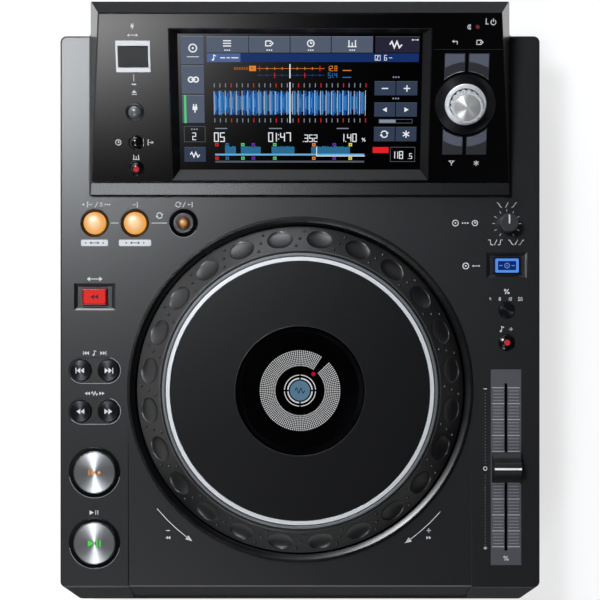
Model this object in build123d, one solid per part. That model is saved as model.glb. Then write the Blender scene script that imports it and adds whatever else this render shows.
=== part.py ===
"""Tabletop DJ player: a wide deck with a jog wheel and a raised display housing.

Millimetres, +Z up. The origin is under the middle of the body, on the surface the feet stand on.
Panel coordinates (u, v, h) lie in the sloped top of the display housing: u along X, v up the slope
from its front edge, h outward along its normal.
"""
from build123d import *
import math
import os

# Body
DECK_Z = 68.0
PARTING_Z = 33.0
FLOOR_Z = 8.0
WALL = 2.5
WELL_RADIUS = 110.2
WING_WIDTH = 42.8
DECK_OVERHANG = 5.7
FLOOR_INSET = 4.3
DECK_HALF_WIDTH = WELL_RADIUS + WING_WIDTH
PARTING_HALF_WIDTH = DECK_HALF_WIDTH - DECK_OVERHANG
FLOOR_HALF_WIDTH = PARTING_HALF_WIDTH - FLOOR_INSET
DECK_FRONT_Y = -178.7
CHIN_REACH = 13.9
FLOOR_SETBACK = 8.6
PARTING_FRONT_Y = DECK_FRONT_Y - CHIN_REACH
FLOOR_FRONT_Y = PARTING_FRONT_Y + FLOOR_SETBACK
BODY_REAR_Y = 172.4
CORNER_RADIUS = 4.0
EDGE_RADIUS = 1.2
CENTRE_HALF_WIDTH = WELL_RADIUS - 0.8
CENTRE_STEP_START_Y = -78.6
CENTRE_DROP = 1.5
CENTRE_SETBACK = 1.3
OVERCUT = 1.0

# Clearances
SLIDE_GAP = 0.3
FIT_GAP = 0.15
RUNNING_GAP = 0.05

# Display housing
HOUSING_FRONT_Y = 70.8
FRONT_STRIP_DEPTH = 7.25
FRONT_STRIP_HEIGHT = 9.0
FRONT_WALL_HEIGHT = 5.4
PANEL_DEPTH = 101.65
PANEL_SLOPE = 0.304
REAR_BEVEL_DEPTH = 12.9
PANEL_FRONT_Y = HOUSING_FRONT_Y + FRONT_STRIP_DEPTH
PANEL_FRONT_Z = DECK_Z + FRONT_STRIP_HEIGHT
PANEL_REAR_Y = PANEL_FRONT_Y + PANEL_DEPTH
HOUSING_REAR_Y = PANEL_REAR_Y + REAR_BEVEL_DEPTH
HOUSING_REAR_Z = DECK_Z + FRONT_STRIP_HEIGHT
HOUSING_LIP = 3.0
LEDGE_WIDTH = 18.8
HOUSING_HALF_WIDTH = DECK_HALF_WIDTH - LEDGE_WIDTH
HOUSING_LEAN = 0.27
PANEL_THICKNESS = 2.0
PANEL_INSET = 0.5
CABLE_HOLE_HALF_WIDTH = HOUSING_HALF_WIDTH - 12.2
CABLE_HOLE_FRONT_Y = HOUSING_FRONT_Y + 4.2
CABLE_HOLE_REAR_Y = BODY_REAR_Y - 7.4

# Display
FRAME_HALF_WIDTH = 80.8
FRAME_FRONT_V = 1.6
FRAME_REAR_V = 97.0
FRAME_SIDE_BEVEL = 5.1
FRAME_FRONT_BEVEL = 6.1
FRAME_REAR_BEVEL = 4.0
GLASS_HALF_WIDTH = FRAME_HALF_WIDTH - FRAME_SIDE_BEVEL
GLASS_FRONT_V = FRAME_FRONT_V + FRAME_FRONT_BEVEL
GLASS_REAR_V = FRAME_REAR_V - FRAME_REAR_BEVEL
GLASS_DEPTH = 5.0
GLASS_THICKNESS = 1.2
GLASS_LAP = 2.0
LCD_THICKNESS = 5.0
FRAME_FLANGE = 2.0
FRAME_EDGE = 0.5

# Buttons
BUTTON_PROUD = 1.4
BUTTON_TRAVEL = 0.8
BUTTON_FLANGE = 0.8
FLANGE_THICKNESS = 1.0
FLANGE_DROP = 1.7
STEM_RADIUS = 1.5
SWITCH_SIZE = 6.0
SWITCH_HEIGHT = 4.3
SWITCH_CLEARANCE = BUTTON_TRAVEL + 0.1
BOARD_THICKNESS = 1.6
DECK_BOARD_Z = DECK_Z - 13.0
PANEL_BOARD_H = -11.4
PANEL_BUTTON_FLANGE_H = -4.7
BEZEL_EDGE = 0.4
BEZEL_SINK = 1.8
BEZEL_LAP = 1.2
BUTTON_EDGE = 0.5

LEFT_X = 22.2 - DECK_HALF_WIDTH
RIGHT_X = DECK_HALF_WIDTH - 21.3
LOOP_Y = HOUSING_FRONT_Y - 17.6
LOOP_SPACING = 25.6
LOOP_IN = (LEFT_X, LOOP_Y)
LOOP_OUT = (LEFT_X + LOOP_SPACING, LOOP_Y)
LOOP_RADIUS = 6.9
LOOP_RING = 8.85
RELOOP_REACH = 36.0
RELOOP = (RELOOP_REACH - WELL_RADIUS, LOOP_Y)
RELOOP_RADIUS = 6.4
RELOOP_RING = 9.1
SKIP_SPACING = 17.7
SKIP_RADIUS = 6.7
TRACK_Y = -40.7
SEARCH_Y = -66.7
TRACK_BACK = (LEFT_X - SKIP_SPACING / 2, TRACK_Y)
TRACK_FORWARD = (LEFT_X + SKIP_SPACING / 2, TRACK_Y)
SEARCH_BACK = (LEFT_X - SKIP_SPACING / 2, SEARCH_Y)
SEARCH_FORWARD = (LEFT_X + SKIP_SPACING / 2, SEARCH_Y)
CAPSULE_LENGTH = 33.1
CAPSULE_WIDTH = 16.6
CAPSULE_DEPTH = 0.6
CUE = (LEFT_X, -105.6)
PLAY = (LEFT_X, -150.7)
CUE_RADIUS = 13.4
CUE_RING = 16.2
TEMPO_RANGE = (RIGHT_X, -2.4)
MASTER_TEMPO = (RIGHT_X, -22.9)
TEMPO_RADIUS = 4.9
DIRECTION = (LEFT_X, 6.2)
DIRECTION_RECESS = (26.2, 17.4)
DIRECTION_KEY = (15.5, 10.3)
JOG_MODE = (RIGHT_X, 26.1)
JOG_MODE_RECESS = (25.8, 17.0)
JOG_MODE_KEY = (15.7, 9.7)
RECESS_DEPTH = 1.6
RECESS_SLOPE = 2.2

HOUSING_SIDE_TAPER = 9.2
SIDE_U = (FRAME_HALF_WIDTH + HOUSING_HALF_WIDTH - HOUSING_SIDE_TAPER) / 2
STOP = (-SIDE_U, 45.2)
TIME = (-SIDE_U, 25.8)
QUANTIZE = (-SIDE_U, 9.4)
PANEL_BUTTON_RADIUS = 3.9
SELECTOR = (SIDE_U, 50.1)
ARC_RADIUS = 20.4
ARC_OUTER = 31.6
ARC_BUTTON_WIDTH = 12.6
ARC_BUTTON_GAP = 2.3

# Selector
SELECTOR_RING_RADIUS = 18.7
SELECTOR_RING_HEIGHT = 1.2
SELECTOR_KNOB_RADIUS = 9.7
SELECTOR_KNOB_BOTTOM = 2.0
SELECTOR_KNOB_TOP = 13.0
SELECTOR_SHAFT_RADIUS = 3.0
SELECTOR_TRAVEL = 0.5
SCALLOPS = 16
SCALLOP_RADIUS = 1.3
ENCODER_SIZE = 14.0
ENCODER_TOP_H = -4.5
ENCODER_BOTTOM_H = -11.4
SHAFT_TOP_H = 10.0
SHAFT_BOTTOM_H = -10.0

# USB port
PORT_U = -SIDE_U
PORT_HALF_WIDTH = 10.65
PORT_FRONT_V = 70.1
PORT_REAR_V = 89.5
FLAP_HALF_WIDTH = 9.1
FLAP_FRONT_V = 73.2
FLAP_PIVOT_V = 85.3
FLAP_THICKNESS = 1.6
NOTCH_RADIUS = 3.7
NOTCH_DEPTH = 0.8
USB_WIDTH = 14.5
USB_HEIGHT = 7.0
USB_SLOT_WIDTH = 12.5
USB_SLOT_HEIGHT = 5.1
USB_TOP_H = -2.5
USB_DEPTH = 14.0
USB_EAR_WIDTH = 22.0
USB_EAR_THICKNESS = 1.0

# Jog wheel
JOG_Y = -52.7
WELL_LIP = 1.6
WELL_FLANGE = 1.9
WELL_WALL = 3.3
WELL_LIP_RADIUS = WELL_RADIUS - WELL_LIP
WELL_BODY_RADIUS = WELL_RADIUS - WELL_FLANGE
WELL_INNER_RADIUS = WELL_BODY_RADIUS - WELL_WALL
WELL_PROUD = 0.8
WELL_BEVEL_DEPTH = 2.0
WELL_FLOOR_Z = DECK_Z - 11.0
WELL_FLOOR_THICKNESS = 2.0
RIM_GAP = 1.5
RIM_SHOULDER = 0.7
RIM_DIMPLE_BAND = 14.1
RIM_LAND = 1.4
RIM_BEVEL = 0.6
RIM_RADIUS = WELL_INNER_RADIUS - RIM_GAP
RIM_DIMPLE_OUTER = RIM_RADIUS - RIM_SHOULDER
RIM_DIMPLE_INNER = RIM_DIMPLE_OUTER - RIM_DIMPLE_BAND
RIM_GROOVE_RADIUS = RIM_DIMPLE_INNER - RIM_LAND
RIM_BEVEL_RADIUS = RIM_GROOVE_RADIUS - RIM_BEVEL
RIM_BOTTOM_Z = WELL_FLOOR_Z + 3.0
RIM_SHOULDER_Z = DECK_Z + 4.0
RIM_TOP_Z = DECK_Z + 18.0
RIM_SLOPE_TOP_Z = RIM_TOP_Z - 2.0
RIM_WALL = 3.0
WEB_Z = DECK_Z - 2.0
BEARING_WIDTH = 3.15
HUB_WIDTH = 4.8
TRIM_INSET = 2.8
TRIM_WIDTH = 2.4
TRIM_OUTER_RADIUS = RIM_BEVEL_RADIUS - TRIM_INSET
TRIM_INNER_RADIUS = TRIM_OUTER_RADIUS - TRIM_WIDTH
TRIM_SEAT_Z = RIM_TOP_Z - 4.0
TRIM_PROUD = 0.4
PLATE_THICKNESS = 2.4
LENS_RADIUS = 40.6
LENS_THICKNESS = 1.2
POST_RADIUS = 12.0
POST_TOP_Z = RIM_TOP_Z - 9.0
BEARING_BOTTOM_Z = WEB_Z - 4.0
HUB_INNER_RADIUS = POST_RADIUS + BEARING_WIDTH + RUNNING_GAP
HUB_OUTER_RADIUS = HUB_INNER_RADIUS + HUB_WIDTH
JOG_DISPLAY_RADIUS = 37.0
JOG_DISPLAY_THICKNESS = 4.6
DIMPLES = 24
DIMPLE_PHASE = 7.6
DIMPLE_LENGTH = 16.5
DIMPLE_WIDTH = 14.7
DIMPLE_DEPTH = 1.4

# Speed knob
SPEED_KNOB = (RIGHT_X, HOUSING_FRONT_Y - 17.9)
SPEED_KNOB_RADIUS = 5.7
SPEED_KNOB_GAP = 0.6
SPEED_KNOB_HEIGHT = 12.5
POT_SHAFT_RADIUS = 3.0
POT_SIZE = 12.0
POT_HEIGHT = 9.0

# Tempo fader
FADER_X = RIGHT_X - 0.5
FADER_CENTRE_Y = -102.3
FADER_TRAVEL = 50.0
FADER_PLATE_WIDTH = 19.4
FADER_PLATE_LENGTH = 124.7
FADER_PLATE_THICKNESS = 1.2
FADER_SLOT_WIDTH = 1.9
FADER_STEM_LENGTH = 6.0
FADER_CAP_WIDTH = 18.6
FADER_CAP_LENGTH = 19.4
FADER_CAP_TOP_LENGTH = 8.0
FADER_CAP_HEIGHT = 11.0
FADER_CAP_GAP = 0.8
FADER_BODY_WIDTH = 14.0
FADER_BODY_HEIGHT = 14.0
FADER_CHANNEL_DEPTH = 8.0

# Rear panel
REAR_SIDE_SETBACK = 33.0
REAR_TOP_SETBACK = 10.0
REAR_HALF_WIDTH = FLOOR_HALF_WIDTH - REAR_SIDE_SETBACK
REAR_BOTTOM_Z = 16.0
REAR_TOP_Z = DECK_Z - REAR_TOP_SETBACK
REAR_FLANGE = 3.0
REAR_PANEL_THICKNESS = 2.0
MAIN_BOARD_Z = 21.6
PHONO_X = (40.0, 56.0, 72.0)
PHONO_Z = 42.0
PHONO_RADIUS = 4.15
PHONO_BORE = 1.7
PHONO_LENGTH = 8.5
PHONO_COLLAR_RADIUS = 5.5
PHONO_COLLAR_PROUD = 0.8
PHONO_BODY = 11.0
LAN_X = 10.0
LAN_SIZE = (16.0, 13.6)
LAN_CAVITY = (11.8, 8.0)
USB_B_X = -14.0
USB_B_SIZE = (12.0, 11.0)
USB_B_CAVITY = (8.6, 7.8)
SOCKET_DEPTH = 18.0
SOCKET_CAVITY_DEPTH = 12.0
INLET_X = 22.0 - REAR_HALF_WIDTH
INLET_Z = 38.0
INLET_SIZE = (28.0, 20.0)
INLET_CAVITY = (24.0, 16.0)
INLET_DEPTH = 22.0
INLET_CAVITY_DEPTH = 15.0
INLET_FLANGE = 3.0
ROCKER_X = INLET_X + 33.0
ROCKER_Z = 38.0
ROCKER_SIZE = (8.0, 11.0)
ROCKER_THICKNESS = 4.0
ROCKER_HOLE_GAP = 0.6

# Boards, feet and screws
BOARD_GAP = 1.0
SUPPLY_LEFT_X = 15.0 - FLOOR_HALF_WIDTH
SUPPLY_WIDTH = 68.0
BOARD_SPACING = 15.0
SUPPLY_LENGTH = 100.0
SUPPLY_SETBACK = 28.4
SUPPLY_REAR_Y = BODY_REAR_Y - SUPPLY_SETBACK
SUPPLY_BOARD = (SUPPLY_LEFT_X, SUPPLY_LEFT_X + SUPPLY_WIDTH, SUPPLY_REAR_Y - SUPPLY_LENGTH, SUPPLY_REAR_Y)
MAIN_BOARD_SIDE_SETBACK = 18.0
MAIN_BOARD_LENGTH = 124.0
MAIN_BOARD_SETBACK = 8.4
MAIN_BOARD_LEFT_X = SUPPLY_BOARD[1] + BOARD_SPACING
MAIN_BOARD_RIGHT_X = FLOOR_HALF_WIDTH - MAIN_BOARD_SIDE_SETBACK
MAIN_BOARD_REAR_Y = BODY_REAR_Y - MAIN_BOARD_SETBACK
MAIN_BOARD_FRONT_Y = MAIN_BOARD_REAR_Y - MAIN_BOARD_LENGTH
MAIN_BOARD = (MAIN_BOARD_LEFT_X, MAIN_BOARD_RIGHT_X, MAIN_BOARD_FRONT_Y, MAIN_BOARD_REAR_Y)
TRANSFORMER = (34.0, 40.0, 26.0)
CAPACITOR_RADIUS = 9.0
CAPACITOR_HEIGHT = 28.0
KEY_BOARD_INNER_X = WELL_RADIUS + 4.8
LOOP_BOARD_SIDE_REACH = 18.2
LOOP_BOARD_FRONT_REACH = 11.2
LOOP_BOARD_REAR_REACH = 12.8
LOOP_BOARD_RIGHT_X = RELOOP[0] + LOOP_BOARD_SIDE_REACH
LOOP_BOARD_FRONT_Y = LOOP_Y - LOOP_BOARD_FRONT_REACH
LOOP_BOARD_REAR_Y = LOOP_Y + LOOP_BOARD_REAR_REACH
PANEL_BOARDS = [(-SIDE_U - 14.0, -SIDE_U + 14.0, 4.0, 62.0), (SIDE_U - 17.0, SIDE_U + 17.0, 14.0, 92.0)]
BOSS_RADIUS = 3.5
PANEL_BOSS_RADIUS = 2.0
FOOT_RADIUS = 11.0
FRONT_FOOT = (FLOOR_HALF_WIDTH - 23.0, FLOOR_FRONT_Y + 29.0)
REAR_FOOT = (FLOOR_HALF_WIDTH - 28.0, BODY_REAR_Y - 27.4)
FOOT_PLACES = [(side * x, y) for x, y in (FRONT_FOOT, REAR_FOOT) for side in (-1, 1)]
SCREW_CORNERS = [
    (FLOOR_HALF_WIDTH - 38.0, FLOOR_FRONT_Y + 12.0),
    (FLOOR_HALF_WIDTH - 7.0, HOUSING_FRONT_Y + 4.2),
    (FLOOR_HALF_WIDTH - 7.0, BODY_REAR_Y - 12.4),
]
SCREW_PLACES = [(side * x, y) for x, y in SCREW_CORNERS for side in (-1, 1)]
POST_BORE_DEPTH = 14.0
SCREW_RADIUS = 1.5
SCREW_HEAD_RADIUS = 3.0
SCREW_HEAD_HEIGHT = 2.0
SCREW_LENGTH = 34.0
SCREW_POST_RADIUS = 4.5

PANEL_ANGLE = math.degrees(math.atan(PANEL_SLOPE))
PANEL_LENGTH = (PANEL_REAR_Y - PANEL_FRONT_Y) / math.cos(math.radians(PANEL_ANGLE))
PANEL_REAR_Z = PANEL_FRONT_Z + PANEL_SLOPE * (PANEL_REAR_Y - PANEL_FRONT_Y)
PANEL = Location((0, PANEL_FRONT_Y, PANEL_FRONT_Z), (PANEL_ANGLE, 0, 0))
SKIN_BOTTOM_H = -PANEL_THICKNESS - WALL
COVER_UNDER_Z = DECK_Z - WALL
KEY_BOARD_BOTTOM_Z = DECK_BOARD_Z - BOARD_THICKNESS
REAR_INNER_Y = BODY_REAR_Y - WALL


def block(x0, x1, y0, y1, z0, z1):
    """Box between two corners."""
    size = (x1 - x0, y1 - y0, z1 - z0)
    return Pos((x0 + x1) / 2, (y0 + y1) / 2, (z0 + z1) / 2) * Box(*size)


def centred(place, size, z0, z1):
    """Box of a plan size about a plan place."""
    half_x = size[0] / 2
    half_y = size[1] / 2
    return block(place[0] - half_x, place[0] + half_x, place[1] - half_y, place[1] + half_y, z0, z1)


def disc(place, radius, z0, z1):
    """Upright cylinder about a plan place."""
    return Pos(place[0], place[1], (z0 + z1) / 2) * Cylinder(radius, z1 - z0)


def ring(place, outer, inner, z0, z1):
    """Upright tube."""
    return disc(place, outer, z0, z1) - disc(place, inner, z0 - OVERCUT, z1 + OVERCUT)


def turned(points, place):
    """Solid of revolution of (radius, z) points about an upright axis."""
    outline = Plane.XZ * make_face(Polyline(*points, close=True))
    return Pos(place[0], place[1], 0) * revolve(outline, Axis.Z)


def body_section(z, inset):
    """Half width, front and rear of the body's wall at a height."""
    if z >= PARTING_Z:
        share = (z - PARTING_Z) / (DECK_Z - PARTING_Z)
        half = PARTING_HALF_WIDTH + share * (DECK_HALF_WIDTH - PARTING_HALF_WIDTH)
        front = PARTING_FRONT_Y + share * (DECK_FRONT_Y - PARTING_FRONT_Y)
    else:
        share = (PARTING_Z - z) / (PARTING_Z - FLOOR_Z)
        half = PARTING_HALF_WIDTH + share * (FLOOR_HALF_WIDTH - PARTING_HALF_WIDTH)
        front = PARTING_FRONT_Y + share * (FLOOR_FRONT_Y - PARTING_FRONT_Y)
    return half - inset, front + inset, BODY_REAR_Y - inset


def body_block(z0, z1, inset, radius):
    """Leaning block of the body's outline between two heights."""
    sections = []
    for z in (z0, z1):
        half, front, rear = body_section(z, inset)
        outline = RectangleRounded(2 * half, rear - front, radius)
        sections.append(Pos(0, (front + rear) / 2, z) * outline)
    return loft(sections, ruled=True)


def centre_step(cover):
    """Cutter that sets the middle of the deck's front lower and further back."""
    half = CENTRE_HALF_WIDTH
    front = PARTING_FRONT_Y - OVERCUT
    points = [
        (CENTRE_STEP_START_Y, DECK_Z),
        (front, DECK_Z - CENTRE_DROP),
        (front, DECK_Z + OVERCUT),
        (CENTRE_STEP_START_Y, DECK_Z + OVERCUT),
    ]
    outline = Plane.YZ * make_face(Polyline(*points, close=True))
    wedge = extrude(outline, half, both=True)
    nose = block(-half, half, front, CENTRE_STEP_START_Y, PARTING_Z, DECK_Z + OVERCUT)
    return wedge + (nose - Pos(0, CENTRE_SETBACK, 0) * cover)


ROUND_DECK_BUTTONS = {
    "loop_in_button": (LOOP_IN, LOOP_RADIUS),
    "loop_out_button": (LOOP_OUT, LOOP_RADIUS),
    "reloop_button": (RELOOP, RELOOP_RADIUS),
    "track_back_button": (TRACK_BACK, SKIP_RADIUS),
    "track_forward_button": (TRACK_FORWARD, SKIP_RADIUS),
    "search_back_button": (SEARCH_BACK, SKIP_RADIUS),
    "search_forward_button": (SEARCH_FORWARD, SKIP_RADIUS),
    "cue_button": (CUE, CUE_RADIUS),
    "play_button": (PLAY, CUE_RADIUS),
    "tempo_range_button": (TEMPO_RANGE, TEMPO_RADIUS),
    "master_tempo_button": (MASTER_TEMPO, TEMPO_RADIUS),
}
BEZELS = [
    (LOOP_IN, LOOP_RADIUS, LOOP_RING),
    (LOOP_OUT, LOOP_RADIUS, LOOP_RING),
    (RELOOP, RELOOP_RADIUS, RELOOP_RING),
    (CUE, CUE_RADIUS, CUE_RING),
    (PLAY, CUE_RADIUS, CUE_RING),
]
DECK_KEYS = {
    "direction_key": (DIRECTION, DIRECTION_KEY, DIRECTION_RECESS),
    "jog_mode_key": (JOG_MODE, JOG_MODE_KEY, JOG_MODE_RECESS),
}
PANEL_BUTTONS = {
    "stop_button": STOP,
    "time_button": TIME,
    "quantize_button": QUANTIZE,
}
ARC_BUTTONS = {
    "back_button": (-1, 1),
    "tag_button": (1, 1),
    "filter_button": (-1, -1),
    "shortcut_button": (1, -1),
}


def screw_posts():
    """Posts under the deck that take the cover screws."""
    posts = []
    for place in SCREW_PLACES:
        post = disc(place, SCREW_POST_RADIUS, PARTING_Z, COVER_UNDER_Z)
        bore = disc(place, SCREW_RADIUS, PARTING_Z - OVERCUT, PARTING_Z + POST_BORE_DEPTH)
        posts.append(post - bore)
    return posts


def left_board():
    """Left, right, front and rear edges of the board under the left wing."""
    half, front, _ = body_section(KEY_BOARD_BOTTOM_Z, WALL + BOARD_GAP)
    return -half, -KEY_BOARD_INNER_X, front + BOARD_GAP, LOOP_BOARD_REAR_Y


def right_board():
    """Left, right, front and rear edges of the board under the right wing's buttons."""
    half, _, _ = body_section(KEY_BOARD_BOTTOM_Z, WALL + BOARD_GAP)
    return KEY_BOARD_INNER_X, half, MASTER_TEMPO[1] - TEMPO_RADIUS - BOSS_RADIUS, JOG_MODE[1] + 14.0


def board_bosses():
    """Bosses that carry the key boards under the deck."""
    left, right, front, rear = left_board()
    inner_left, inner_right, inner_front, inner_rear = right_board()
    edge = BOSS_RADIUS
    places = [
        (left + edge, front + edge),
        (right - edge, front + edge),
        (left + edge, rear - edge),
        (LOOP_BOARD_RIGHT_X - edge, rear - edge),
        (inner_left + edge, inner_front + edge),
        (inner_right - edge, inner_front + edge),
        (inner_left + edge, inner_rear - edge),
    ]
    return [disc(place, BOSS_RADIUS, DECK_BOARD_Z, COVER_UNDER_Z) for place in places]


def rear_opening(gap):
    """Opening of the rear wall that the rear panel fills."""
    half = REAR_HALF_WIDTH + gap
    bottom = REAR_BOTTOM_Z - gap
    return block(-half, half, REAR_INNER_Y - OVERCUT, BODY_REAR_Y + OVERCUT, bottom, REAR_TOP_Z + gap)


def sloped_recess(place, size):
    """Cutter for a recess whose walls slope in to its floor."""
    mouth = Pos(*place, DECK_Z) * Rectangle(*size)
    floor = Rectangle(size[0] - 2 * RECESS_SLOPE, size[1] - 2 * RECESS_SLOPE)
    return loft([Pos(*place, DECK_Z - RECESS_DEPTH) * floor, mouth], ruled=True)


def deck_holes():
    """Everything cut through the deck."""
    through = (COVER_UNDER_Z - OVERCUT, DECK_Z + OVERCUT)
    cuts = [disc((0, JOG_Y), WELL_BODY_RADIUS + SLIDE_GAP, *through)]
    ringed = {bezel[0]: bezel[2] for bezel in BEZELS}
    for place, radius in ROUND_DECK_BUTTONS.values():
        hole = ringed[place] + FIT_GAP if place in ringed else radius + SLIDE_GAP
        cuts.append(disc(place, hole, *through))
    for place, size, recess in DECK_KEYS.values():
        hole = (size[0] + 2 * SLIDE_GAP, size[1] + 2 * SLIDE_GAP)
        cuts.append(centred(place, hole, *through))
        cuts.append(sloped_recess(place, recess))
    for back, forward in ((TRACK_BACK, TRACK_FORWARD), (SEARCH_BACK, SEARCH_FORWARD)):
        middle = ((back[0] + forward[0]) / 2, back[1], DECK_Z - CAPSULE_DEPTH)
        capsule = extrude(SlotOverall(CAPSULE_LENGTH, CAPSULE_WIDTH), CAPSULE_DEPTH + OVERCUT)
        cuts.append(Pos(*middle) * capsule)
    plate = (FADER_PLATE_WIDTH + 2 * FIT_GAP, FADER_PLATE_LENGTH + 2 * FIT_GAP)
    slot = (FADER_SLOT_WIDTH, 2 * FADER_TRAVEL + FADER_STEM_LENGTH + 2 * SLIDE_GAP)
    cuts.append(centred((FADER_X, FADER_CENTRE_Y), plate, DECK_Z - FADER_PLATE_THICKNESS, DECK_Z + OVERCUT))
    cuts.append(centred((FADER_X, FADER_CENTRE_Y), slot, *through))
    cuts.append(disc(SPEED_KNOB, POT_SHAFT_RADIUS + SLIDE_GAP, *through))
    half = CABLE_HOLE_HALF_WIDTH
    cuts.append(block(-half, half, CABLE_HOLE_FRONT_Y, CABLE_HOLE_REAR_Y, *through))
    return cuts


def make_top_cover():
    """Upper shell with the deck."""
    outer = body_block(PARTING_Z, DECK_Z, 0, CORNER_RADIUS)
    rounded = fillet(outer.faces().sort_by(Axis.Z)[-1].edges(), EDGE_RADIUS)
    inner = body_block(PARTING_Z, COVER_UNDER_Z, WALL, CORNER_RADIUS - WALL)
    mouth = Pos(0, 0, -OVERCUT) * inner
    cover = rounded - inner - mouth - centre_step(rounded)
    cover = cover + screw_posts() + board_bosses()
    return cover - deck_holes() - rear_opening(FIT_GAP)


def board_posts(board):
    """Four posts from the floor to a board."""
    left, right, front, rear = board
    edge = BOSS_RADIUS
    top = MAIN_BOARD_Z - BOARD_THICKNESS
    places = [(x, y) for x in (left + edge, right - edge) for y in (front + edge, rear - edge)]
    return [disc(place, BOSS_RADIUS, FLOOR_Z + WALL, top) for place in places]


def make_bottom_cover():
    """Lower tray with posts for the boards and the screws."""
    outer = body_block(FLOOR_Z, PARTING_Z, 0, CORNER_RADIUS)
    inner = body_block(FLOOR_Z + WALL, PARTING_Z, WALL, CORNER_RADIUS - WALL)
    tray = outer - inner - Pos(0, 0, OVERCUT) * inner
    tray = tray + board_posts(MAIN_BOARD) + board_posts(SUPPLY_BOARD)
    for place in SCREW_PLACES:
        tray = tray + disc(place, SCREW_POST_RADIUS, FLOOR_Z, PARTING_Z)
        tray = tray - disc(place, SCREW_RADIUS, FLOOR_Z - OVERCUT, PARTING_Z + OVERCUT)
        tray = tray - disc(place, SCREW_HEAD_RADIUS, FLOOR_Z - OVERCUT, FLOOR_Z + SCREW_HEAD_HEIGHT)
    return tray - rear_opening(FIT_GAP)


def make_cover_screws():
    """Screws from the floor into the posts of the top cover."""
    screws = []
    for place in SCREW_PLACES:
        head = disc(place, SCREW_HEAD_RADIUS, FLOOR_Z, FLOOR_Z + SCREW_HEAD_HEIGHT)
        shank = disc(place, SCREW_RADIUS, FLOOR_Z + SCREW_HEAD_HEIGHT, FLOOR_Z + SCREW_LENGTH)
        screws.append(head + shank)
    return Compound(children=screws)


def make_feet():
    """Rubber feet."""
    return Compound(children=[disc(place, FOOT_RADIUS, 0, FLOOR_Z) for place in FOOT_PLACES])


def housing_profile():
    """Side outline of the display housing, in (Y, Z)."""
    return [
        (HOUSING_FRONT_Y, DECK_Z),
        (HOUSING_FRONT_Y, DECK_Z + FRONT_WALL_HEIGHT),
        (PANEL_FRONT_Y, PANEL_FRONT_Z),
        (PANEL_REAR_Y, PANEL_REAR_Z),
        (HOUSING_REAR_Y, HOUSING_REAR_Z),
        (HOUSING_REAR_Y, HOUSING_REAR_Z - HOUSING_LIP),
        (BODY_REAR_Y, HOUSING_REAR_Z - HOUSING_LIP),
        (BODY_REAR_Y, DECK_Z),
    ]


def housing_block(inset):
    """Closed block of the housing, inset on every side."""
    outline = Plane.YZ * make_face(Polyline(*housing_profile(), close=True))
    if inset > 0:
        outline = offset(outline, -inset, kind=Kind.INTERSECTION)
    profile = extrude(outline, HOUSING_HALF_WIDTH, both=True)
    rise = PANEL_REAR_Z - DECK_Z
    bottom = HOUSING_HALF_WIDTH - inset
    top = bottom - HOUSING_LEAN * rise
    points = [(-bottom, DECK_Z), (bottom, DECK_Z), (top, PANEL_REAR_Z), (-top, PANEL_REAR_Z)]
    front_view = Plane.XZ * make_face(Polyline(*points, close=True))
    return profile & extrude(front_view, HOUSING_REAR_Y + OVERCUT, both=True)


def panel_box(u0, u1, v0, v1, h0, h1):
    """Box in panel coordinates."""
    return PANEL * block(u0, u1, v0, v1, h0, h1)


def panel_disc(place, radius, h0, h1):
    """Cylinder in panel coordinates, along the panel's normal."""
    return PANEL * disc(place, radius, h0, h1)


def arc_button(side, end, gap, h0, h1):
    """Block beside the selector with its near side cut by an arc."""
    near = SELECTOR[0] + side * ARC_BUTTON_GAP / 2
    edges = (near, near + side * ARC_BUTTON_WIDTH)
    ends = (SELECTOR[1], SELECTOR[1] + end * (ARC_OUTER + gap))
    shape = block(min(edges) - gap, max(edges) + gap, min(ends), max(ends), h0, h1)
    return PANEL * (shape - disc(SELECTOR, ARC_RADIUS - gap, h0 - OVERCUT, h1 + OVERCUT))


def panel_openings():
    """Holes through the gloss panel and the housing's skin."""
    span = (SKIN_BOTTOM_H - OVERCUT, OVERCUT)
    frame = FRAME_HALF_WIDTH + FIT_GAP
    cuts = [panel_box(-frame, frame, FRAME_FRONT_V - FIT_GAP, FRAME_REAR_V + FIT_GAP, *span)]
    for place in PANEL_BUTTONS.values():
        cuts.append(panel_disc(place, PANEL_BUTTON_RADIUS + SLIDE_GAP, *span))
    for side, end in ARC_BUTTONS.values():
        cuts.append(arc_button(side, end, SLIDE_GAP, *span))
    cuts.append(panel_disc(SELECTOR, SELECTOR_SHAFT_RADIUS + SLIDE_GAP, *span))
    port = PORT_HALF_WIDTH + FIT_GAP
    front = PORT_FRONT_V - FIT_GAP
    rear = PORT_REAR_V + FIT_GAP
    cuts.append(panel_box(PORT_U - port, PORT_U + port, front, rear, -PANEL_THICKNESS, OVERCUT))
    usb_u = USB_WIDTH / 2 + FIT_GAP
    usb_v = USB_HEIGHT / 2 + FIT_GAP
    middle = (PORT_FRONT_V + PORT_REAR_V) / 2
    cuts.append(panel_box(PORT_U - usb_u, PORT_U + usb_u, middle - usb_v, middle + usb_v, *span))
    return cuts


def panel_bosses():
    """Bosses that carry the panel's key boards, at the far corners of each."""
    edge = PANEL_BOSS_RADIUS
    places = []
    for left, right, front, rear in PANEL_BOARDS:
        places += [(x, y) for x in (left + edge, right - edge) for y in (front + edge, rear - edge)]
    return [panel_disc(place, PANEL_BOSS_RADIUS, PANEL_BOARD_H, SKIN_BOTTOM_H) for place in places]


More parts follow.
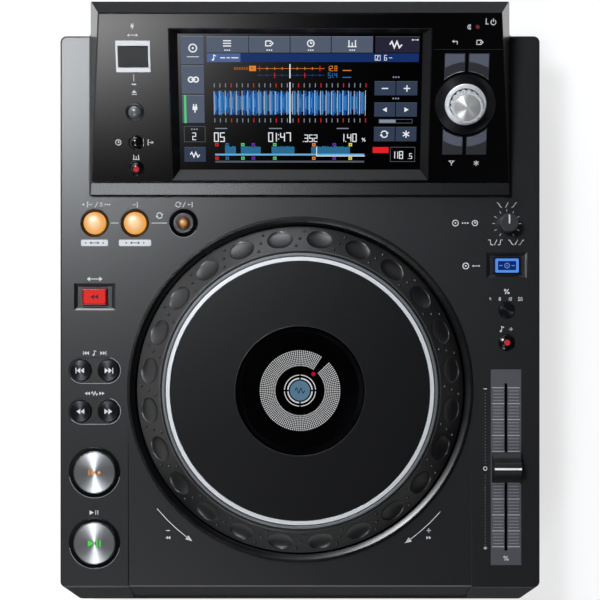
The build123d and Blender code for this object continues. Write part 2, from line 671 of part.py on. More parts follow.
def make_display_housing():
    """Raised housing behind the deck."""
    width = HOUSING_HALF_WIDTH
    above = HOUSING_REAR_Y
    recess = panel_box(-width, width, 0, PANEL_LENGTH, -PANEL_THICKNESS, above)
    roof = panel_box(-width, width, -PANEL_LENGTH, 2 * PANEL_LENGTH, SKIN_BOTTOM_H, above)
    cavity = housing_block(WALL) - roof
    half = HOUSING_HALF_WIDTH - 2 * WALL
    mouth = block(-half, half, PANEL_FRONT_Y, REAR_INNER_Y, DECK_Z - OVERCUT, DECK_Z + 2 * WALL)
    shell = housing_block(0) - recess - cavity - (mouth - roof) - panel_openings()
    return shell + panel_bosses()


def make_gloss_panel():
    """Glossy plate on the housing's sloped top."""
    front_half = HOUSING_HALF_WIDTH - HOUSING_LEAN * (PANEL_FRONT_Z - DECK_Z) - PANEL_INSET
    rear_half = HOUSING_HALF_WIDTH - HOUSING_LEAN * (PANEL_REAR_Z - DECK_Z) - PANEL_INSET
    front = PANEL_INSET
    rear = PANEL_LENGTH - PANEL_INSET
    points = [(-front_half, front), (front_half, front), (rear_half, rear), (-rear_half, rear)]
    outline = make_face(Polyline(*points, close=True))
    plate = PANEL * (Pos(0, 0, -PANEL_THICKNESS) * extrude(outline, PANEL_THICKNESS))
    return plate - panel_openings()


def make_display_bezel():
    """Sunken frame with sloped walls down to the glass."""
    middle_outer = (FRAME_FRONT_V + FRAME_REAR_V) / 2
    middle_glass = (GLASS_FRONT_V + GLASS_REAR_V) / 2
    outer = Rectangle(2 * FRAME_HALF_WIDTH, FRAME_REAR_V - FRAME_FRONT_V)
    lip = Rectangle(2 * (FRAME_HALF_WIDTH - FRAME_EDGE), FRAME_REAR_V - FRAME_FRONT_V - 2 * FRAME_EDGE)
    glass = Rectangle(2 * GLASS_HALF_WIDTH, GLASS_REAR_V - GLASS_FRONT_V)
    body = Pos(0, middle_outer, -GLASS_DEPTH) * extrude(outer, GLASS_DEPTH)
    funnel = loft([Pos(0, middle_glass, -GLASS_DEPTH) * glass, Pos(0, middle_outer, 0) * lip], ruled=True)
    bottom = -GLASS_DEPTH - GLASS_THICKNESS
    half = FRAME_HALF_WIDTH + FRAME_FLANGE
    front = FRAME_FRONT_V - FRAME_FLANGE
    rear = FRAME_REAR_V + FRAME_FLANGE
    flange = block(-half, half, front, rear, bottom, SKIN_BOTTOM_H)
    hollow = Pos(0, middle_glass, -GLASS_DEPTH) * extrude(glass, GLASS_DEPTH)
    return PANEL * (body + flange - funnel - hollow) - glass_box(GLASS_LAP, bottom, -GLASS_DEPTH)


def glass_box(lap, h0, h1):
    """Box behind the bezel, wider than the visible glass by a lap."""
    half = GLASS_HALF_WIDTH + lap
    return panel_box(-half, half, GLASS_FRONT_V - lap, GLASS_REAR_V + lap, h0, h1)


def port_ring():
    """Frame round the port flap."""
    left = PORT_U - PORT_HALF_WIDTH
    right = PORT_U + PORT_HALF_WIDTH
    top = FLAP_THICKNESS / 2
    outer = panel_box(left, right, PORT_FRONT_V, PORT_REAR_V, -PANEL_THICKNESS, top)
    half = FLAP_HALF_WIDTH + SLIDE_GAP
    rear = FLAP_PIVOT_V + FLAP_THICKNESS / 2 + SLIDE_GAP
    span = (-PANEL_THICKNESS - OVERCUT, top + OVERCUT)
    return outer - panel_box(PORT_U - half, PORT_U + half, FLAP_FRONT_V - SLIDE_GAP, rear, *span)


def make_port_flap():
    """Flap with a rounded hinge edge and a finger notch."""
    half = FLAP_THICKNESS / 2
    leaf = block(PORT_U - FLAP_HALF_WIDTH, PORT_U + FLAP_HALF_WIDTH, FLAP_FRONT_V, FLAP_PIVOT_V, -half, half)
    knuckle = Pos(PORT_U, FLAP_PIVOT_V, 0) * (Rot(0, 90, 0) * Cylinder(half, 2 * FLAP_HALF_WIDTH))
    notch = disc((PORT_U, FLAP_FRONT_V), NOTCH_RADIUS, half - NOTCH_DEPTH, half + OVERCUT)
    return PANEL * (leaf + knuckle - notch)


def make_usb_a_socket():
    """Upright socket under the flap."""
    middle = (PORT_FRONT_V + PORT_REAR_V) / 2
    body = centred((PORT_U, middle), (USB_WIDTH, USB_HEIGHT), USB_TOP_H - USB_DEPTH, USB_TOP_H)
    ear_size = (USB_EAR_WIDTH, USB_HEIGHT)
    ears = centred((PORT_U, middle), ear_size, SKIN_BOTTOM_H - USB_EAR_THICKNESS, SKIN_BOTTOM_H)
    slot = (USB_SLOT_WIDTH, USB_SLOT_HEIGHT)
    cavity = centred((PORT_U, middle), slot, USB_TOP_H - USB_DEPTH + WALL, USB_TOP_H + OVERCUT)
    return PANEL * (body + ears - cavity)


def round_button(place, radius, flange_z, top, stem_bottom):
    """Cap, flange and stem, upright."""
    cap = disc(place, radius, flange_z, top)
    cap = fillet(cap.faces().sort_by(Axis.Z)[-1].edges(), BUTTON_EDGE)
    flange = disc(place, radius + BUTTON_FLANGE, flange_z - FLANGE_THICKNESS, flange_z)
    stem = disc(place, STEM_RADIUS, stem_bottom, flange_z - FLANGE_THICKNESS)
    return cap + flange + stem


def make_deck_buttons():
    """Round buttons and the two square keys of the deck, by node name."""
    flange_z = COVER_UNDER_Z - FLANGE_DROP
    stem_bottom = DECK_BOARD_Z + SWITCH_HEIGHT + SWITCH_CLEARANCE
    buttons = {}
    for name, (place, radius) in ROUND_DECK_BUTTONS.items():
        buttons[name] = round_button(place, radius, flange_z, DECK_Z + BUTTON_PROUD, stem_bottom)
    for name, (place, size, _) in DECK_KEYS.items():
        cap = centred(place, size, flange_z, DECK_Z + BUTTON_PROUD)
        cap = fillet(cap.faces().sort_by(Axis.Z)[-1].edges(), BUTTON_EDGE)
        lap = (size[0] + 2 * BUTTON_FLANGE, size[1] + 2 * BUTTON_FLANGE)
        flange = centred(place, lap, flange_z - FLANGE_THICKNESS, flange_z)
        stem = disc(place, STEM_RADIUS, stem_bottom, flange_z - FLANGE_THICKNESS)
        buttons[name] = cap + flange + stem
    return buttons


def make_panel_buttons():
    """Buttons of the sloped panel, by node name."""
    flange_h = PANEL_BUTTON_FLANGE_H
    stem_bottom = PANEL_BOARD_H + SWITCH_HEIGHT + SWITCH_CLEARANCE
    buttons = {}
    for name, place in PANEL_BUTTONS.items():
        buttons[name] = PANEL * round_button(place, PANEL_BUTTON_RADIUS, flange_h, BUTTON_PROUD, stem_bottom)
    for name, (side, end) in ARC_BUTTONS.items():
        cap = arc_button(side, end, 0, flange_h - FLANGE_THICKNESS, BUTTON_PROUD)
        stem = panel_disc(arc_centre(side, end), STEM_RADIUS, stem_bottom, flange_h - FLANGE_THICKNESS)
        buttons[name] = cap + stem
    return buttons


def arc_centre(side, end):
    """Plan centre of an arc button."""
    u = SELECTOR[0] + side * (ARC_BUTTON_GAP + ARC_BUTTON_WIDTH) / 2
    v = SELECTOR[1] + end * (ARC_OUTER + ARC_RADIUS) / 2
    return u, v


def make_button_bezels():
    """Rings round the loop, cue and play buttons, held by a flange under the deck."""
    rings = []
    for place, radius, outer in BEZELS:
        inner = radius + SLIDE_GAP
        bottom = COVER_UNDER_Z - BEZEL_LAP
        points = [
            (inner, bottom),
            (outer + BEZEL_LAP, bottom),
            (outer + BEZEL_LAP, COVER_UNDER_Z),
            (outer, COVER_UNDER_Z),
            (outer, DECK_Z),
            (outer - BEZEL_EDGE, DECK_Z),
            (inner, DECK_Z - BEZEL_SINK),
        ]
        rings.append(turned(points, place))
    return Compound(children=rings)


def left_key_board():
    """Board under the left wing and the loop buttons."""
    left, right, front, rear = left_board()
    span = (KEY_BOARD_BOTTOM_Z, DECK_BOARD_Z)
    strip = block(left, right, front, rear, *span)
    return strip + block(left, LOOP_BOARD_RIGHT_X, LOOP_BOARD_FRONT_Y, rear, *span)


def make_key_boards():
    """Boards under the deck's and the panel's buttons."""
    wing_board = block(*right_board(), KEY_BOARD_BOTTOM_Z, DECK_BOARD_Z)
    bottom = PANEL_BOARD_H - BOARD_THICKNESS
    panel_boards = [panel_box(*edges, bottom, PANEL_BOARD_H) for edges in PANEL_BOARDS]
    return Compound(children=[left_key_board(), wing_board] + panel_boards)


def make_tact_switches():
    """One switch under every button."""
    size = (SWITCH_SIZE, SWITCH_SIZE)
    deck = [entry[0] for entry in ROUND_DECK_BUTTONS.values()] + [entry[0] for entry in DECK_KEYS.values()]
    panel = list(PANEL_BUTTONS.values())
    panel += [arc_centre(*sides) for sides in ARC_BUTTONS.values()]
    top = PANEL_BOARD_H + SWITCH_HEIGHT
    switches = [centred(place, size, DECK_BOARD_Z, DECK_BOARD_Z + SWITCH_HEIGHT) for place in deck]
    switches += [PANEL * centred(place, size, PANEL_BOARD_H, top) for place in panel]
    return Compound(children=switches)


def make_selector():
    """Bezel, knob, shaft and encoder of the selector, by node name."""
    shaft_gap = SELECTOR_SHAFT_RADIUS + RUNNING_GAP
    bezel = ring(SELECTOR, SELECTOR_RING_RADIUS, SELECTOR_SHAFT_RADIUS + SLIDE_GAP, 0, SELECTOR_RING_HEIGHT)
    knob = disc(SELECTOR, SELECTOR_KNOB_RADIUS, SELECTOR_KNOB_BOTTOM, SELECTOR_KNOB_TOP)
    for index in range(SCALLOPS):
        angle = math.radians(360 / SCALLOPS * index)
        reach = SELECTOR_KNOB_RADIUS + SCALLOP_RADIUS / 2
        place = (SELECTOR[0] + reach * math.cos(angle), SELECTOR[1] + reach * math.sin(angle))
        knob = knob - disc(place, SCALLOP_RADIUS, SELECTOR_KNOB_BOTTOM - OVERCUT, SELECTOR_KNOB_TOP + OVERCUT)
    knob = knob - disc(SELECTOR, shaft_gap, SELECTOR_KNOB_BOTTOM - OVERCUT, SHAFT_TOP_H + RUNNING_GAP)
    shaft = disc(SELECTOR, SELECTOR_SHAFT_RADIUS, SHAFT_BOTTOM_H, SHAFT_TOP_H)
    body = centred(SELECTOR, (ENCODER_SIZE, ENCODER_SIZE), ENCODER_BOTTOM_H, ENCODER_TOP_H)
    bore_bottom = SHAFT_BOTTOM_H - SELECTOR_TRAVEL - FIT_GAP
    body = body - disc(SELECTOR, shaft_gap, bore_bottom, ENCODER_TOP_H + OVERCUT)
    return {
        "selector_bezel": PANEL * bezel,
        "selector_knob": PANEL * knob,
        "selector_shaft": PANEL * shaft,
        "selector_encoder": PANEL * body,
    }


def make_jog_well():
    """Dish that the jog wheel turns in."""
    top = DECK_Z + WELL_PROUD
    under = WELL_FLOOR_Z - WELL_FLOOR_THICKNESS
    points = [
        (0, under),
        (WELL_BODY_RADIUS, under),
        (WELL_BODY_RADIUS, DECK_Z),
        (WELL_RADIUS, DECK_Z),
        (WELL_RADIUS, top),
        (WELL_LIP_RADIUS, top),
        (WELL_INNER_RADIUS, top - WELL_BEVEL_DEPTH),
        (WELL_INNER_RADIUS, WELL_FLOOR_Z),
        (0, WELL_FLOOR_Z),
    ]
    return turned(points, (0, JOG_Y))


def dimple(angle):
    """Oval hollow in the sloped face of the rim."""
    radius = (RIM_DIMPLE_INNER + RIM_DIMPLE_OUTER) / 2
    height = (RIM_SHOULDER_Z + RIM_SLOPE_TOP_Z) / 2
    drop = math.degrees(math.atan2(RIM_SLOPE_TOP_Z - RIM_SHOULDER_Z, RIM_DIMPLE_OUTER - RIM_DIMPLE_INNER))
    oval = scale(Sphere(1), by=(DIMPLE_WIDTH / 2, DIMPLE_LENGTH / 2, DIMPLE_DEPTH))
    tilted = Pos(radius, 0, height) * (Rot(0, drop, 0) * oval)
    return Pos(0, JOG_Y, 0) * (Rot(0, 0, angle) * tilted)


def make_jog_rim():
    """Rim with its web and hub."""
    web_top = WEB_Z + RIM_WALL
    inner = RIM_RADIUS - RIM_WALL
    points = [
        (HUB_INNER_RADIUS, RIM_BOTTOM_Z),
        (HUB_OUTER_RADIUS, RIM_BOTTOM_Z),
        (HUB_OUTER_RADIUS, WEB_Z),
        (inner, WEB_Z),
        (inner, RIM_BOTTOM_Z),
        (RIM_RADIUS, RIM_BOTTOM_Z),
        (RIM_RADIUS, RIM_SHOULDER_Z - (RIM_RADIUS - RIM_DIMPLE_OUTER)),
        (RIM_DIMPLE_OUTER, RIM_SHOULDER_Z),
        (RIM_DIMPLE_INNER, RIM_SLOPE_TOP_Z),
        (RIM_GROOVE_RADIUS, RIM_SLOPE_TOP_Z),
        (RIM_BEVEL_RADIUS, RIM_TOP_Z),
        (TRIM_OUTER_RADIUS, RIM_TOP_Z),
        (TRIM_OUTER_RADIUS, TRIM_SEAT_Z),
        (TRIM_INNER_RADIUS, TRIM_SEAT_Z),
        (TRIM_INNER_RADIUS, web_top),
        (HUB_INNER_RADIUS, web_top),
    ]
    rim = turned(points, (0, JOG_Y))
    for index in range(DIMPLES):
        rim = rim - dimple(DIMPLE_PHASE + 360 / DIMPLES * index)
    return rim


def make_jog():
    """Jog wheel and what it turns on, by node name."""
    place = (0, JOG_Y)
    plate_bottom = RIM_TOP_Z - PLATE_THICKNESS
    lens_seat = RIM_TOP_Z - LENS_THICKNESS
    plate = disc(place, TRIM_INNER_RADIUS - SLIDE_GAP, plate_bottom, RIM_TOP_Z)
    plate = plate - disc(place, LENS_RADIUS, lens_seat, RIM_TOP_Z + OVERCUT)
    plate = plate - disc(place, LENS_RADIUS - BEZEL_LAP, plate_bottom - OVERCUT, RIM_TOP_Z + OVERCUT)
    post = disc(place, POST_RADIUS, WELL_FLOOR_Z, POST_TOP_Z)
    collar = HUB_INNER_RADIUS - RUNNING_GAP
    trim = ring(place, TRIM_OUTER_RADIUS, TRIM_INNER_RADIUS, TRIM_SEAT_Z, RIM_TOP_Z + TRIM_PROUD)
    return {
        "jog_well": make_jog_well(),
        "jog_rim": make_jog_rim(),
        "jog_trim_ring": trim,
        "jog_plate": plate,
        "jog_window": disc(place, LENS_RADIUS, lens_seat, RIM_TOP_Z),
        "jog_post": post,
        "jog_bearing": ring(place, collar, POST_RADIUS, BEARING_BOTTOM_Z, WEB_Z + RIM_WALL),
        "jog_display": disc(place, JOG_DISPLAY_RADIUS, POST_TOP_Z, POST_TOP_Z + JOG_DISPLAY_THICKNESS),
    }


def make_speed_knob():
    """Knob with its shaft, and the pot under the deck."""
    base = DECK_Z + SPEED_KNOB_GAP
    cap = disc(SPEED_KNOB, SPEED_KNOB_RADIUS, base, base + SPEED_KNOB_HEIGHT)
    cap = fillet(cap.faces().sort_by(Axis.Z)[-1].edges(), BUTTON_EDGE)
    shaft_bottom = COVER_UNDER_Z - POT_HEIGHT + WALL
    shaft = disc(SPEED_KNOB, POT_SHAFT_RADIUS, shaft_bottom, base)
    pot = centred(SPEED_KNOB, (POT_SIZE, POT_SIZE), COVER_UNDER_Z - POT_HEIGHT, COVER_UNDER_Z)
    bore = disc(SPEED_KNOB, POT_SHAFT_RADIUS + RUNNING_GAP, shaft_bottom - FIT_GAP, COVER_UNDER_Z + OVERCUT)
    return {"speed_knob": cap + shaft, "speed_pot": pot - bore}


def make_fader():
    """Plate, body and cap of the tempo fader."""
    place = (FADER_X, FADER_CENTRE_Y)
    slot = (FADER_SLOT_WIDTH, 2 * FADER_TRAVEL + FADER_STEM_LENGTH + 2 * SLIDE_GAP)
    plate_bottom = DECK_Z - FADER_PLATE_THICKNESS
    plate = centred(place, (FADER_PLATE_WIDTH, FADER_PLATE_LENGTH), plate_bottom, DECK_Z)
    plate = plate - centred(place, slot, plate_bottom - OVERCUT, DECK_Z + OVERCUT)
    body_length = slot[1] + 4 * WALL
    body = centred(place, (FADER_BODY_WIDTH, body_length), COVER_UNDER_Z - FADER_BODY_HEIGHT, COVER_UNDER_Z)
    body = body - centred(place, slot, COVER_UNDER_Z - FADER_CHANNEL_DEPTH, COVER_UNDER_Z + OVERCUT)
    foot = DECK_Z + FADER_CAP_GAP
    stem_size = (FADER_SLOT_WIDTH - 2 * SLIDE_GAP, FADER_STEM_LENGTH)
    stem = centred(place, stem_size, COVER_UNDER_Z - FADER_CHANNEL_DEPTH + WALL, foot)
    base = Pos(*place, foot) * Rectangle(FADER_CAP_WIDTH, FADER_CAP_LENGTH)
    crown = Pos(*place, foot + FADER_CAP_HEIGHT) * Rectangle(FADER_CAP_WIDTH, FADER_CAP_TOP_LENGTH)
    return {"fader_plate": plate, "fader_body": body, "fader_cap": stem + loft([base, crown], ruled=True)}


def rear_box(x, z, size, y0, y1):
    """Box seen from behind, by its centre and its width and height."""
    half_x = size[0] / 2
    half_z = size[1] / 2
    return block(x - half_x, x + half_x, y0, y1, z - half_z, z + half_z)


def rear_disc(x, z, radius, y0, y1):
    """Cylinder along Y."""
    return Pos(x, (y0 + y1) / 2, z) * (Rot(90, 0, 0) * Cylinder(radius, y1 - y0))


def board_socket(x, size, cavity):
    """Shell of a socket that stands on the main board."""
    z = MAIN_BOARD_Z + size[1] / 2
    shell = rear_box(x, z, size, BODY_REAR_Y - SOCKET_DEPTH, BODY_REAR_Y)
    return shell - rear_box(x, z, cavity, BODY_REAR_Y - SOCKET_CAVITY_DEPTH, BODY_REAR_Y + OVERCUT)


def make_phono_sockets():
    """Round signal sockets."""
    sockets = []
    for x in PHONO_X:
        half = PHONO_BODY / 2
        back = REAR_INNER_Y - REAR_PANEL_THICKNESS
        body = block(x - half, x + half, back - PHONO_BODY, back, MAIN_BOARD_Z, PHONO_Z + half)
        shoulder = BODY_REAR_Y + PHONO_COLLAR_PROUD
        tip = shoulder + PHONO_LENGTH
        collar = rear_disc(x, PHONO_Z, PHONO_COLLAR_RADIUS, back, shoulder)
        barrel = rear_disc(x, PHONO_Z, PHONO_RADIUS, shoulder, tip)
        bore = rear_disc(x, PHONO_Z, PHONO_BORE, back, tip + OVERCUT)
        sockets.append(body + collar + barrel - bore)
    return Compound(children=sockets)


def make_ac_inlet():
    """Mains inlet with its outer flange."""
    flange_size = (INLET_SIZE[0] + 2 * INLET_FLANGE, INLET_SIZE[1] + 2 * INLET_FLANGE)
    face = BODY_REAR_Y + REAR_PANEL_THICKNESS
    body = rear_box(INLET_X, INLET_Z, INLET_SIZE, face - INLET_DEPTH, face)
    flange = rear_box(INLET_X, INLET_Z, flange_size, BODY_REAR_Y, face)
    return body + flange - rear_box(INLET_X, INLET_Z, INLET_CAVITY, face - INLET_CAVITY_DEPTH, face + OVERCUT)


def make_rear_panel():
    """Plate that carries the sockets, with a flange inside the rear wall."""
    inside = REAR_INNER_Y - REAR_PANEL_THICKNESS
    half = REAR_HALF_WIDTH
    plate = block(-half, half, REAR_INNER_Y, BODY_REAR_Y, REAR_BOTTOM_Z, REAR_TOP_Z)
    wide = half + REAR_FLANGE
    flange = block(-wide, wide, inside, REAR_INNER_Y, REAR_BOTTOM_Z - REAR_FLANGE, REAR_TOP_Z + REAR_FLANGE)
    cuts = []
    span = (inside - OVERCUT, BODY_REAR_Y + OVERCUT)
    for x in PHONO_X:
        cuts.append(rear_disc(x, PHONO_Z, PHONO_COLLAR_RADIUS + FIT_GAP, *span))
    for x, size in ((LAN_X, LAN_SIZE), (USB_B_X, USB_B_SIZE)):
        hole = (size[0] + 2 * FIT_GAP, size[1] + 2 * FIT_GAP)
        cuts.append(rear_box(x, MAIN_BOARD_Z + size[1] / 2, hole, *span))
    hole = (INLET_SIZE[0] + 2 * FIT_GAP, INLET_SIZE[1] + 2 * FIT_GAP)
    cuts.append(rear_box(INLET_X, INLET_Z, hole, *span))
    hole = (ROCKER_SIZE[0] + 2 * ROCKER_HOLE_GAP, ROCKER_SIZE[1] + 2 * ROCKER_HOLE_GAP)
    cuts.append(rear_box(ROCKER_X, ROCKER_Z, hole, *span))
    return plate + flange - cuts


def make_power_rocker():
    """Rocker of the power switch, centred on its pivot."""
    half = ROCKER_THICKNESS / 2
    return rear_box(ROCKER_X, ROCKER_Z, ROCKER_SIZE, BODY_REAR_Y - half, BODY_REAR_Y + half)


def make_main_board():
    """Main board on its posts."""
    left, right, front, rear = MAIN_BOARD
    return block(left, right, front, rear, MAIN_BOARD_Z - BOARD_THICKNESS, MAIN_BOARD_Z)


def make_power_supply():
    """Supply board with its transformer and capacitor."""
    left, right, front, rear = SUPPLY_BOARD
    board = block(left, right, front, rear, MAIN_BOARD_Z - BOARD_THICKNESS, MAIN_BOARD_Z)
    middle = ((left + right) / 2, front + TRANSFORMER[1])
    coil = centred(middle, TRANSFORMER[:2], MAIN_BOARD_Z, MAIN_BOARD_Z + TRANSFORMER[2])
    can_place = (middle[0], rear - 2 * CAPACITOR_RADIUS)
    can = disc(can_place, CAPACITOR_RADIUS, MAIN_BOARD_Z, MAIN_BOARD_Z + CAPACITOR_HEIGHT)
    return board + coil + can


def build():
    """Every node by name."""
    glass_bottom = -GLASS_DEPTH - GLASS_THICKNESS
    nodes = {
        "top_cover": make_top_cover(),
        "bottom_cover": make_bottom_cover(),
        "cover_screws": make_cover_screws(),
        "feet": make_feet(),
        "display_housing": make_display_housing(),
        "gloss_panel": make_gloss_panel(),
        "display_bezel": make_display_bezel(),
        "touch_glass": glass_box(GLASS_LAP, glass_bottom, -GLASS_DEPTH),
        "lcd_module": glass_box(0, glass_bottom - LCD_THICKNESS, glass_bottom),
        "port_frame": port_ring(),
        "port_flap": make_port_flap(),
        "usb_a_socket": make_usb_a_socket(),
        "button_bezels": make_button_bezels(),
        "key_boards": make_key_boards(),
        "tact_switches": make_tact_switches(),
        "rear_panel": make_rear_panel(),
        "phono_sockets": make_phono_sockets(),
        "lan_socket": board_socket(LAN_X, LAN_SIZE, LAN_CAVITY),
        "usb_b_socket": board_socket(USB_B_X, USB_B_SIZE, USB_B_CAVITY),
        "ac_inlet": make_ac_inlet(),
        "power_rocker": make_power_rocker(),
        "main_board": make_main_board(),
        "power_supply": make_power_supply(),
    }
    nodes.update(make_deck_buttons())
    nodes.update(make_panel_buttons())
    nodes.update(make_selector())
    nodes.update(make_jog())
    nodes.update(make_speed_knob())
    nodes.update(make_fader())
    return nodes


def main():
    """Write one STEP file per node."""
    os.makedirs("parts", exist_ok=True)
    for name, shape in build().items():
        export_step(shape, f"parts/{name}.step")


if __name__ == "__main__":
    main()
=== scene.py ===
"""Finishes, lit marks, pictures, trim, lights and camera for a tabletop disc jockey's player.

Sizes in the classes are millimetres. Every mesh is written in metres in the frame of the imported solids.
"""

import logging
import math
from dataclasses import dataclass, field
from enum import Enum
from functools import lru_cache
from typing import Iterable, Sequence

import bpy
from bpy.types import Material, Mesh, Node, NodeSocket, NodeTree, Object
from mathutils import Matrix, Vector


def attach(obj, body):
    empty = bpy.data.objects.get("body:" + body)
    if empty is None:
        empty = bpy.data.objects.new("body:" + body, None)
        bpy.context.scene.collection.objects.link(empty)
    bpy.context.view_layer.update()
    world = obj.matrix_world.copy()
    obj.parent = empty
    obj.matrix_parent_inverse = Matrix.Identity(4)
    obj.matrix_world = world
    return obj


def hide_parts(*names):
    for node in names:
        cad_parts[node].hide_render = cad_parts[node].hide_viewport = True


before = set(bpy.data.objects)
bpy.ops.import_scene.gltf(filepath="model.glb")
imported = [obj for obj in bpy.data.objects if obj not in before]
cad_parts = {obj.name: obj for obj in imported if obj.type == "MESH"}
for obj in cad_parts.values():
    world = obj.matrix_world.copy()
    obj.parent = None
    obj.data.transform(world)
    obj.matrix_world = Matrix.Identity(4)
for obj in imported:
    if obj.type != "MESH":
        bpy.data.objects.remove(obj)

LOG = logging.getLogger("player")
MM = 0.001
SMOOTH = 35.0

Point = tuple[float, float]
Place = tuple[float, float, float]
Colour = tuple[float, float, float, float]
WHITE: Colour = (1.0, 1.0, 1.0, 1.0)


# ---- colour and nodes

def linear(code: str) -> Colour:
    """Turns an sRGB hex colour into linear values.

    Args:
        code: Six hex digits.

    Returns:
        Red, green, blue and alpha.
    """
    values = [int(code[i:i + 2], 16) / 255 for i in (0, 2, 4)]
    red, green, blue = [v / 12.92 if v <= 0.04045 else ((v + 0.055) / 1.055) ** 2.4 for v in values]
    return red, green, blue, 1.0


def add_node(tree: NodeTree, kind: str, settings: dict | None = None, inputs: dict | None = None) -> Node:
    """Adds one node with its settings and links.

    Args:
        tree: The node tree.
        kind: Blender's name of the node.
        settings: Properties of the node.
        inputs: Values or linked sockets, by input name or number.

    Returns:
        The node.
    """
    node = tree.nodes.new(kind)
    for key, value in (settings or {}).items():
        setattr(node, key, value)
    for key, value in (inputs or {}).items():
        if isinstance(value, NodeSocket):
            tree.links.new(value, node.inputs[key])
        else:
            node.inputs[key].default_value = value
    return node


def compute(tree: NodeTree, operation: str, *values: object) -> NodeSocket:
    """Adds a math node over numbers or sockets and gives its result."""
    return add_node(tree, "ShaderNodeMath", {"operation": operation}, dict(enumerate(values))).outputs[0]


def compute_vector(tree: NodeTree, operation: str, *values: object) -> NodeSocket:
    """Adds a vector math node over vectors or sockets and gives its result."""
    node = add_node(tree, "ShaderNodeVectorMath", {"operation": operation}, dict(enumerate(values)))
    return node.outputs["Value" if operation in ("LENGTH", "DISTANCE") else "Vector"]


# ---- finishes

@dataclass(frozen=True)
class Finish:
    """A surface finish that builds one material."""

    name: str

    def build(self) -> Material:
        """Builds the material.

        Returns:
            The material.
        """
        material = bpy.data.materials.new(self.name)
        material.use_nodes = True
        tree = material.node_tree
        tree.nodes.clear()
        shader = self.shade(tree)
        add_node(tree, "ShaderNodeOutputMaterial", inputs={"Surface": shader.outputs[0]})
        return material

    def shade(self, tree: NodeTree) -> Node:
        """Adds the finish's own shader nodes.

        Args:
            tree: The material's node tree.

        Returns:
            The last shader node.
        """
        raise NotImplementedError

    def principled(self, tree: NodeTree, inputs: dict) -> Node:
        """Adds the main shader with its own numbers and links."""
        return add_node(tree, "ShaderNodeBsdfPrincipled", inputs=inputs)

    def place(self, tree: NodeTree) -> NodeSocket:
        """Adds the piece's own coordinates, in metres."""
        return add_node(tree, "ShaderNodeTexCoord").outputs["Object"]

    def noise(self, tree: NodeTree, size_mm: float, detail: float, roughness: float = 0.5) -> NodeSocket:
        """Adds an uneven pattern with features of about one size.

        Args:
            tree: The node tree.
            size_mm: Size of the features.
            detail: How many finer layers lie over them.
            roughness: How strong the finer layers are.

        Returns:
            The pattern's value.
        """
        return add_node(tree, "ShaderNodeTexNoise", inputs={
            "Vector": self.place(tree), "Scale": 1 / (size_mm * MM), "Detail": detail,
            "Roughness": roughness}).outputs["Fac"]

    def distance(self, tree: NodeTree, centre: Place, radius_mm: float) -> NodeSocket:
        """Adds the distance from a place in millimetres, as a share of a radius."""
        away = compute_vector(tree, "DISTANCE", self.place(tree), tuple(value * MM for value in centre))
        return compute(tree, "DIVIDE", away, radius_mm * MM)

    def blend(self, tree: NodeTree, share: NodeSocket, *stops: tuple[float, str]) -> NodeSocket:
        """Adds a blend between two colours.

        Args:
            tree: The node tree.
            share: The value that the colours are laid along.
            stops: The place and the hex colour of each of the two.

        Returns:
            The colour socket.
        """
        ramp = add_node(tree, "ShaderNodeValToRGB", inputs={"Fac": share})
        for element, (position, code) in zip(ramp.color_ramp.elements, stops):
            element.position = position
            element.color = linear(code)
        return ramp.outputs["Color"]

    def speckle(self, tree: NodeTree, grain_mm: float, low: str, high: str) -> NodeSocket:
        """Adds a fine uneven colour.

        Args:
            tree: The node tree.
            grain_mm: Size of one grain.
            low: Hex colour of the hollows.
            high: Hex colour of the tops.

        Returns:
            The colour socket.
        """
        return self.blend(tree, self.noise(tree, grain_mm, 3.0, 0.6), (0.35, low), (0.65, high))

    def grain_bump(self, tree: NodeTree, grain_mm: float, height_mm: float,
                   normal: NodeSocket | None = None) -> NodeSocket:
        """Adds a fine raised grain.

        Args:
            tree: The node tree.
            grain_mm: Size of one grain.
            height_mm: Height of one grain.
            normal: A normal that the grain is laid over.

        Returns:
            The normal socket.
        """
        inputs = {"Height": self.noise(tree, grain_mm, 2.0), "Distance": height_mm * MM, "Strength": 1.0}
        if normal is not None:
            inputs["Normal"] = normal
        return add_node(tree, "ShaderNodeBump", inputs=inputs).outputs["Normal"]

    def soft_edge(self, tree: NodeTree, radius_mm: float) -> NodeSocket:
        """Rounds the look of hard edges, as the real moulding does."""
        return add_node(tree, "ShaderNodeBevel", {"samples": 4}, {"Radius": radius_mm * MM}).outputs["Normal"]


